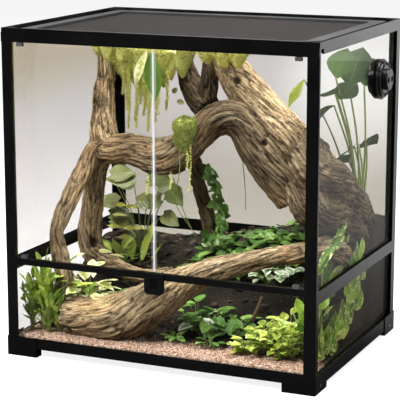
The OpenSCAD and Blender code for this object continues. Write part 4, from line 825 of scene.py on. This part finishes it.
def right_plants():
    a = Bag()
    for c, fill in zip(RIGHT_TUFTS[0:4], (7.0, 5.0, 6.0, 7.0)):
        clump(a, c, "ovate", fill, (0.1, 1.0), stalk=0.7, low=0.2)
    clump(a, [182, -140, 10, 58, 34, 24, 15, 25, 0], "ovate", 5.0, (0.1, 1.0), stalk=0.7, low=0.25)
    lime = a.piece("right_lime_leaves", LEAF_LIME)
    b = Bag()
    for c in RIGHT_TUFTS[4:7]:
        clump(b, c, "heart", 2.4, (0.2, 1.0), low=0.25)
    for c in RIGHT_TUFTS[7:10]:
        clump(b, c, "heart", 3.2, (0.35, 1.0), stalk=0.7, low=0.2)
    clump(b, RIGHT_TUFTS[11], "ovate", 3.0, (0.2, 0.9), stalk=0.7, low=0.3)
    for _ in range(150):
        x, y = rng.uniform(-56, 190), rng.uniform(30, 118)
        d, up = aim(rng.uniform(0, 360), rng.uniform(-10, 35))
        size = rng.uniform(0.7, 1.1)
        leaf(b, on_bed(x, y, rng.uniform(3, 22)), d, 25 * size, 19 * size, "heart", rng.uniform(0.2, 1.0), 0.15,
            face=up + rng.normal(size=3) * 0.2 + [0.1, -0.35, 0])
    clump(b, [4, -150, 6, 16, 12, 22, 13, 30, 0], "ovate", 1.0, (0.5, 1.0), stalk=0.7)
    clump(b, [72, -148, 6, 18, 14, 22, 13, 30, 50], "ovate", 1.0, (0.4, 0.9), stalk=0.7)
    pts = stem(b, IVY_STEM, 1.1, 0.9, step=4.0)
    for i, p in enumerate(pts):
        for s in (-1, 1):
            d, up = aim(-60 + 55 * s + rng.uniform(-40, 40), 5 - 20 * s + rng.uniform(-40, 20), rng.uniform(-30, 30))
            size = rng.uniform(0.75, 1.1)
            if i % 2 or s > 0:
                leaf(b, p[:3] + rng.normal(size=3) * 4, d, 21 * size, 18 * size, "heart", rng.uniform(0.2, 1.0), 0.2,
                    face=np.array([0.42, -0.9, 0.35]) + rng.normal(size=3) * 0.4)
    dark = b.piece("right_dark_leaves", LEAF_DARK)
    w = Bag()
    clump(w, RIGHT_TUFTS[10], "ovate", 2.6, (0.4, 1.0), stalk=0.7)
    clump(w, [118, 20, 8, 44, 34, 26, 18, 20, 12], "ovate", 2.2, (0.4, 1.0), stalk=0.7)
    clump(w, [34, -96, 5, 50, 30, 30, 21, 10, 55], "heart", 0.6, (0.4, 1.0))
    mottled = w.piece("right_mottled_leaves", LEAF_WHITE)
    e = Bag()
    for c in RIGHT_TUFTS[12:16]:
        clump(e, c, "lance", 3.0, (0.15, 0.9), low=0.3)
    for y, z, azimuth, rise, length, width in ((-150, 182, 60, 50, 62, 24), (-120, 196, 70, 44, 66, 22),
            (-84, 216, 60, 38, 60, 26), (-40, 226, 70, 50, 62, 20), (-158, 120, 80, 70, 60, 24),
            (-104, 116, 95, 40, 48, 28), (-60, 156, 80, 30, 56, 24), (0, 196, 80, 60, 62, 18)):
        d, up = aim(azimuth, rise, 60)
        stem(e, [on_bed(262, y - 6, 0), [266, y - 4, z - 30], [268, y, z]], 1.1, 0.8)
        leaf(e, [268, y, z], d, length, width * 0.8, "lance", rng.uniform(0.1, 1.0), 0.06, 0.3,
            face=[0.8, -0.5, 0.4] + rng.normal(size=3) * 0.3)
    pressed_leaves(e)
    side = e.piece("right_side_leaves", LEAF_SIDE)
    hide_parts("plants_right")


TALL_LEAVES = [[240, 40, 516, 80, 52, 20, 60, 44], [244, 104, 494, 75, 60, 20, 74, 60],
    [252, 170, 486, 80, 55, 20, 56, 46], [184, 26, 512, 195, -60, 30, 54, 30], [244, 44, 476, 70, 30, 30, 52, 34],
    [240, 34, 466, 236, -25, 40, 60, 38], [252, 120, 376, 262, -5, 40, 50, 34], [254, 140, 376, 85, 0, -40, 46, 32],
    [258, 172, 384, 80, -15, -40, 36, 30], [250, 96, 352, 255, 20, 40, 40, 28], [244, 28, 488, 262, 15, 30, 42, 30]]


def tall_plant():
    foot, arch = on_bed(262, 130, -6), np.array([4, 6, 20.0])
    bag, young = Bag(), Bag()
    spray(bag, foot, TALL_LEAVES[:3] + TALL_LEAVES[4:], arch, 2.4, "ovate", (0.2, 1.0), 0.12, 1.22)
    spray(young, foot, TALL_LEAVES[3:4], arch, 2.0, "ovate", (0.8, 1.0), 0.1, 1.05)
    ob = bag.piece("tall_plant_leaves", LEAF_TALL)
    bright = young.piece("tall_plant_young_leaf", LEAF_LIME)
    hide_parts("tall_plant")


class Blades:
    """Very small pointed blades, as of moss."""

    def __init__(self):
        self.v, self.tone = [], []

    def add(self, points, directions, length, width):
        n = len(points)
        d = directions / np.maximum(1e-9, norm(directions, axis=1))[:, None]
        side = np.cross(d, rng.normal(size=(n, 3)))
        side /= np.maximum(1e-9, norm(side, axis=1))[:, None]
        ln = length * rng.uniform(0.5, 1.2, (n, 1))
        w = width * rng.uniform(0.6, 1.2, (n, 1))
        tri = np.stack([points - side * w / 2, points + side * w / 2, points + d * ln], axis=1)
        self.v.append(tri.reshape(-1, 3))
        self.tone.append(np.repeat(rng.uniform(0.1, 1.0, n), 3))

    def strand(self, points, count, length, width, loose):
        """Blades that hang along a curve."""
        p = curve_points(points, 5.0)
        pick = p[rng.integers(0, len(p), count)][:, :3] + rng.normal(size=(count, 3)) * loose
        self.add(pick, rng.normal(size=(count, 3)) * 0.6 - UP, length, width)

    def piece(self, name, material):
        v = np.concatenate(self.v)
        f = [(i, i + 1, i + 2) for i in range(0, len(v), 3)]
        return make_piece(name, v, f, material, uv=np.zeros((len(v), 2)), extra={"tone": np.concatenate(self.tone)},
            smooth=False)


# Pads of moss as [x, y, z, radius, hang]; the last two lie on the hump of the branch
MOSS_PADS = [[-206, 16, 556, 26, 1.2], [-178, 24, 550, 28, 1.6], [-146, 34, 546, 30, 2.2], [-112, 50, 548, 28, 1.8],
    [-76, 60, 552, 26, 1.2], [-16, 40, 564, 20, 0.7], [20, 32, 564, 22, 0.8], [52, 30, 562, 20, 0.7],
    [-34, -20, 414, 22, 1.2], [-38, -18, 392, 18, 0.6]]


def moss_pad(core, blades, x, y, z, r, hang, count, length, width):
    """Lumpy cushion that sags downwards, covered with blades."""
    ring, turn = 12, 18
    verts = []
    for i in range(ring + 1):
        for j in range(turn):
            a, b = math.pi * i / ring, 2 * math.pi * j / turn
            d = np.array([math.sin(a) * math.cos(b), math.sin(a) * math.sin(b), math.cos(a)])
            low = max(0.0, -d[2])
            q = d * [1.12 - 0.35 * low * hang, 0.95 - 0.2 * low, 1.0] * r
            q[2] -= hang * 0.8 * r * low ** 2
            lump = 1 + 0.16 * noise.noise(tuple(q / 9 + [x, y, z]))
            verts.append(q * lump + [x, y, z])
    faces = quads(ring + 1, turn)
    core.add(verts, faces, np.zeros((len(verts), 2)), 0.15)
    v = np.array(verts)
    pick = np.array(faces)[rng.integers(0, len(faces), count)]
    s, t = rng.uniform(size=(count, 1)), rng.uniform(size=(count, 1))
    at = (v[pick[:, 0]] * (1 - s) + v[pick[:, 1]] * s) * (1 - t) + (v[pick[:, 3]] * (1 - s) + v[pick[:, 2]] * s) * t
    out = at - [x, y, z - 0.4 * hang * r]
    out /= norm(out, axis=1)[:, None]
    blades.add(at - out * 1.0, out + rng.normal(size=(count, 3)) * 0.7 - UP * 0.3, length, width)


def moss():
    """Cushions under the lid and on the hump, strands below them, and the leaves and vines among them."""
    few = 1.0
    core, g, h = Bag(), Blades(), Blades()
    hump_core, hump_blades = Bag(), Blades()
    for k, (x, y, z, r, hang) in enumerate(MOSS_PADS):
        gold = k in (5, 6, 7)
        if k > 7:
            moss_pad(hump_core, hump_blades, x, y, z, r, hang, int(6500 * few), 4.0, 1.7)
            continue
        moss_pad(core, h if gold else g, x, y, z, r, hang, int((2600 if gold else 5200) * few), 6.5 if gold else 4.2,
            2.4 if gold else 1.9)
    for x, y, z, r in ((-192, 20, 540, 16), (-128, 38, 520, 18), (-160, 26, 520, 16), (-96, 52, 530, 16),
            (-222, -8, 572, 14), (-200, -10, 566, 17), (-174, -2, 560, 16)):
        moss_pad(core, g, x, y, z, r, 1.6, int(1800 * few), 4.2, 1.9)
    for x, y, top, low in ((-163, 6, 520, 404), (-166, 8, 520, 440), (-146, 6, 510, 407), (-149, 8, 505, 420),
            (-121, 5, 505, 401), (-133, 12, 500, 430), (-112, 20, 510, 418), (-92, 26, 512, 440),
            (-176, 10, 520, 470), (-124, 12, 505, 410)):
        g.strand([[x, y, top], [x + 2, y - 2, (top + low) / 2], [x - 1, y - 3, low]], int(900 * few), 4.0, 1.5, 1.3)
    for _ in range(34):
        x = rng.uniform(-178, -104)
        top = rng.uniform(490, 520)
        h.strand([[x, 22, top], [x + 2, 14, top - 24], [x + 1, 12, top - rng.uniform(36, 62)]], int(190 * few), 5.0,
            1.2, 1.0)
    for x, z0, z1 in ((-22, 384, 300), (-110, 322, 285), (-28, 372, 340), (-62, 330, 300)):
        g.strand([[x, -24, z0], [x + 2, -26, (z0 + z1) / 2], [x - 1, -26, z1]], int(260 * few), 4.0, 1.3, 1.0)
    green = g.piece("moss_curtain", MOSS)
    hump = [hump_blades.piece("moss_on_hump", MOSS_HUMP), hump_core.piece("moss_hump_core", MOSS_HUMP)]
    gold = h.piece("moss_gold_tufts", MOSS_GOLD)
    inner = core.piece("moss_core", MOSS)
    b = Bag()
    leaf(b, [-114, -2, 548], [0.16, -0.1, -1.0], 92, 34, "ovate", 1.0, 0.0, 0.25, face=[0.7, -0.8, 0.25])
    big = b.piece("hanging_green_leaf", LEAF_HANGING)
    w = Bag()
    for at, way, length, tone, fold, turn in (([-122, -2, 552], [-0.25, -0.2, -0.9], 68, 0.6, 0.25, -0.2),
            ([-128, 6, 584], [-0.5, -0.3, -0.5], 44, 0.8, 0.25, 0.2),
            ([-96, 20, 580], [0.6, -0.4, -0.5], 52, 0.8, 0.2, 0.3)):
        leaf(w, at, way, length, 22, "ovate", tone, 0.0, fold, face=[turn, -0.9, 0.3])
    pale = w.piece("hanging_pale_leaves", LEAF_CREAM)
    v = Bag()
    for x, y, z in ((-84, 34, 470), (-76, 36, 455)):
        leaf(v, [x, y, z], rng.normal(size=3) * [1, 0.4, 1], 15, 10, "round", 1.0, 0.1, 0.2, face=[0.4, -0.9, 0.3])
    for path in ([[-44, -24, 392], [-42, -28, 330], [-60, -10, 270], [-30, 20, 200]],
            [[-66, -4, 314], [-52, 10, 250], [-32, 30, 190]], [[66, 20, 352], [67, 30, 300], [66, 36, 256]],
            [[-110, 0, 314], [-112, 10, 292], [-108, 20, 276]]):
        stem(v, path, 1.1, 0.7)
    vines = v.piece("hanging_vines", LEAF_OLIVE)
    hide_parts("hanging_moss")


def litter():
    bag = Bag()
    for _ in range(520):
        x, y = rng.uniform(-282, 282), rng.uniform(-150, 205)
        a = rng.uniform(0, FULL_TURN)
        leaf(bag, on_bed(x, y, rng.uniform(0.5, 4)), [math.cos(a), math.sin(a), rng.uniform(-0.1, 0.25)],
            rng.uniform(12, 26), rng.uniform(6, 12), "ovate", rng.uniform(0, 1), 0.1, 0.15)
    stem(bag, [[139, -110, 84], [148, -108, 106], [157, -106, 132]], 4.2, 2.0, 1.0, 7)
    ob = bag.piece("leaf_litter", LITTER)


left_plants()
right_plants()
tall_plant()
moss()
litter()

# ---- wire mesh of the cover


def wires():
    """Two crossing layers of square wires."""
    pitch, r = (2.0), 0.24
    border = 43.4  # from the side of the tank to the opening of the cover
    half_x, half_y, z = TANK_X - border, TANK_Y - border, 600.5
    v, f = [], []
    for axis, half, other in ((0, half_x, half_y), (1, half_y, half_x)):
        for k in np.arange(-half + 0.5 * pitch, half, pitch):
            base = len(v)
            off = 0.25 if axis else -0.25
            for end in (-other, other):
                for du, dz in ((-r, -r), (r, -r), (r, r), (-r, r)):
                    v.append((k + du, end, z + off + dz) if axis == 0 else (end, k + du, z + off + dz))
            f += quads(2, 4, base=base)
    ob = make_piece("woven_wires", v, f, WIRE, body="screen_cover", smooth=False, clip=False)
    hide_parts("screen_mesh")


wires()

# ---- floor, lights and camera


def floor():
    me = bpy.data.meshes.new("floor")
    me.from_pydata([(-30, -30, 0), (30, -30, 0), (30, 30, 0), (-30, 30, 0)], [], [(0, 1, 2, 3)])
    ob = add_object("floor", me)
    m = Nodes("floor_white")
    dif = m.new("BsdfDiffuse", {"Color": (0.22, 0.22, 0.22, 1)})
    glow = m.new("Emission", {"Color": (1, 1, 1, 1)})
    path = m.new("LightPath")
    # painted reflection: to glossy rays the floor glows behind the object and is dark before it, as a studio with a
    # white backdrop would look
    depth = m.axis(m.where(), 1)
    behind = m.span(depth, 0.1, 0.8, 0.0, 0.85)
    seen = m.times(path.outputs["Is Camera Ray"], 0.86)
    mirrored = m.times(path.outputs["Is Glossy Ray"], behind)
    m.link(m.plus(seen, mirrored), glow.inputs["Strength"])
    m.link(m.mix(path.outputs["Is Glossy Ray"], (0.22, 0.22, 0.22), (0.03, 0.03, 0.03)), dif.inputs["Color"])
    me.materials.append(m.show(m.new("AddShader", {0: dif.outputs[0], 1: glow.outputs[0]})))


floor()


def area(name, place, target, size, power, color=(1, 1, 1)):
    """Square lamp that shines at a target and isn't seen itself."""
    data = bpy.data.lights.new(name, "AREA")
    data.shape = "SQUARE"
    data.size = size
    data.energy = power
    data.color = color
    ob = add_object(name, data)
    ob.location = place
    ob.rotation_euler = (Vector(target) - Vector(place)).to_track_quat("-Z", "Y").to_euler()
    ob.visible_camera = False


area("key", (-1.4, -2.4, 2.8), (0, 0, 0.3), 1.2, 295, (1.0, 0.985, 0.96))
area("top", (0.1, 0.2, 2.6), (0, 0, 0.3), 1.6, 330)
area("right", (2.8, -0.9, 1.6), (0, 0, 0.3), 1.4, 40)
area("back", (1.2, 4.2, 1.2), (0, 0, 0.4), 4.0, 50)

# White to the camera and dim as a light
world = bpy.data.worlds.new("studio")
bpy.context.scene.world = world
world.use_nodes = True
tree = world.node_tree
path = tree.nodes.new("ShaderNodeLightPath")
level = tree.nodes.new("ShaderNodeMapRange")
level.inputs["To Min"].default_value = 0.1
level.inputs["To Max"].default_value = 1.0
tree.links.new(path.outputs["Is Camera Ray"], level.inputs["Value"])
tree.links.new(level.outputs[0], tree.nodes["Background"].inputs["Strength"])
tree.nodes["Background"].inputs["Color"].default_value = (1, 1, 1, 1)

# Fitted to the straight edges of the photograph, which is 400 pixels wide
YAW, PITCH = math.radians(23.862), math.radians(-11.926)
FOCAL_PIXELS, IMAGE_PIXELS, SENSOR_MM = 1621.2, 400.0, 36.0
cam_data = bpy.data.cameras.new("camera")
cam_data.sensor_width = SENSOR_MM
cam_data.lens = SENSOR_MM * FOCAL_PIXELS / IMAGE_PIXELS
cam_data.clip_end = 100.0
cam = add_object("camera", cam_data)
cam.location = metres([1200.0, -2741.0, 908.0]).tolist()
look = Vector((-math.sin(YAW) * math.cos(PITCH), math.cos(YAW) * math.cos(PITCH), math.sin(PITCH)))
cam.rotation_euler = look.to_track_quat("-Z", "Y").to_euler()
bpy.context.scene.camera = cam
bpy.context.scene.view_settings.view_transform = "Standard"
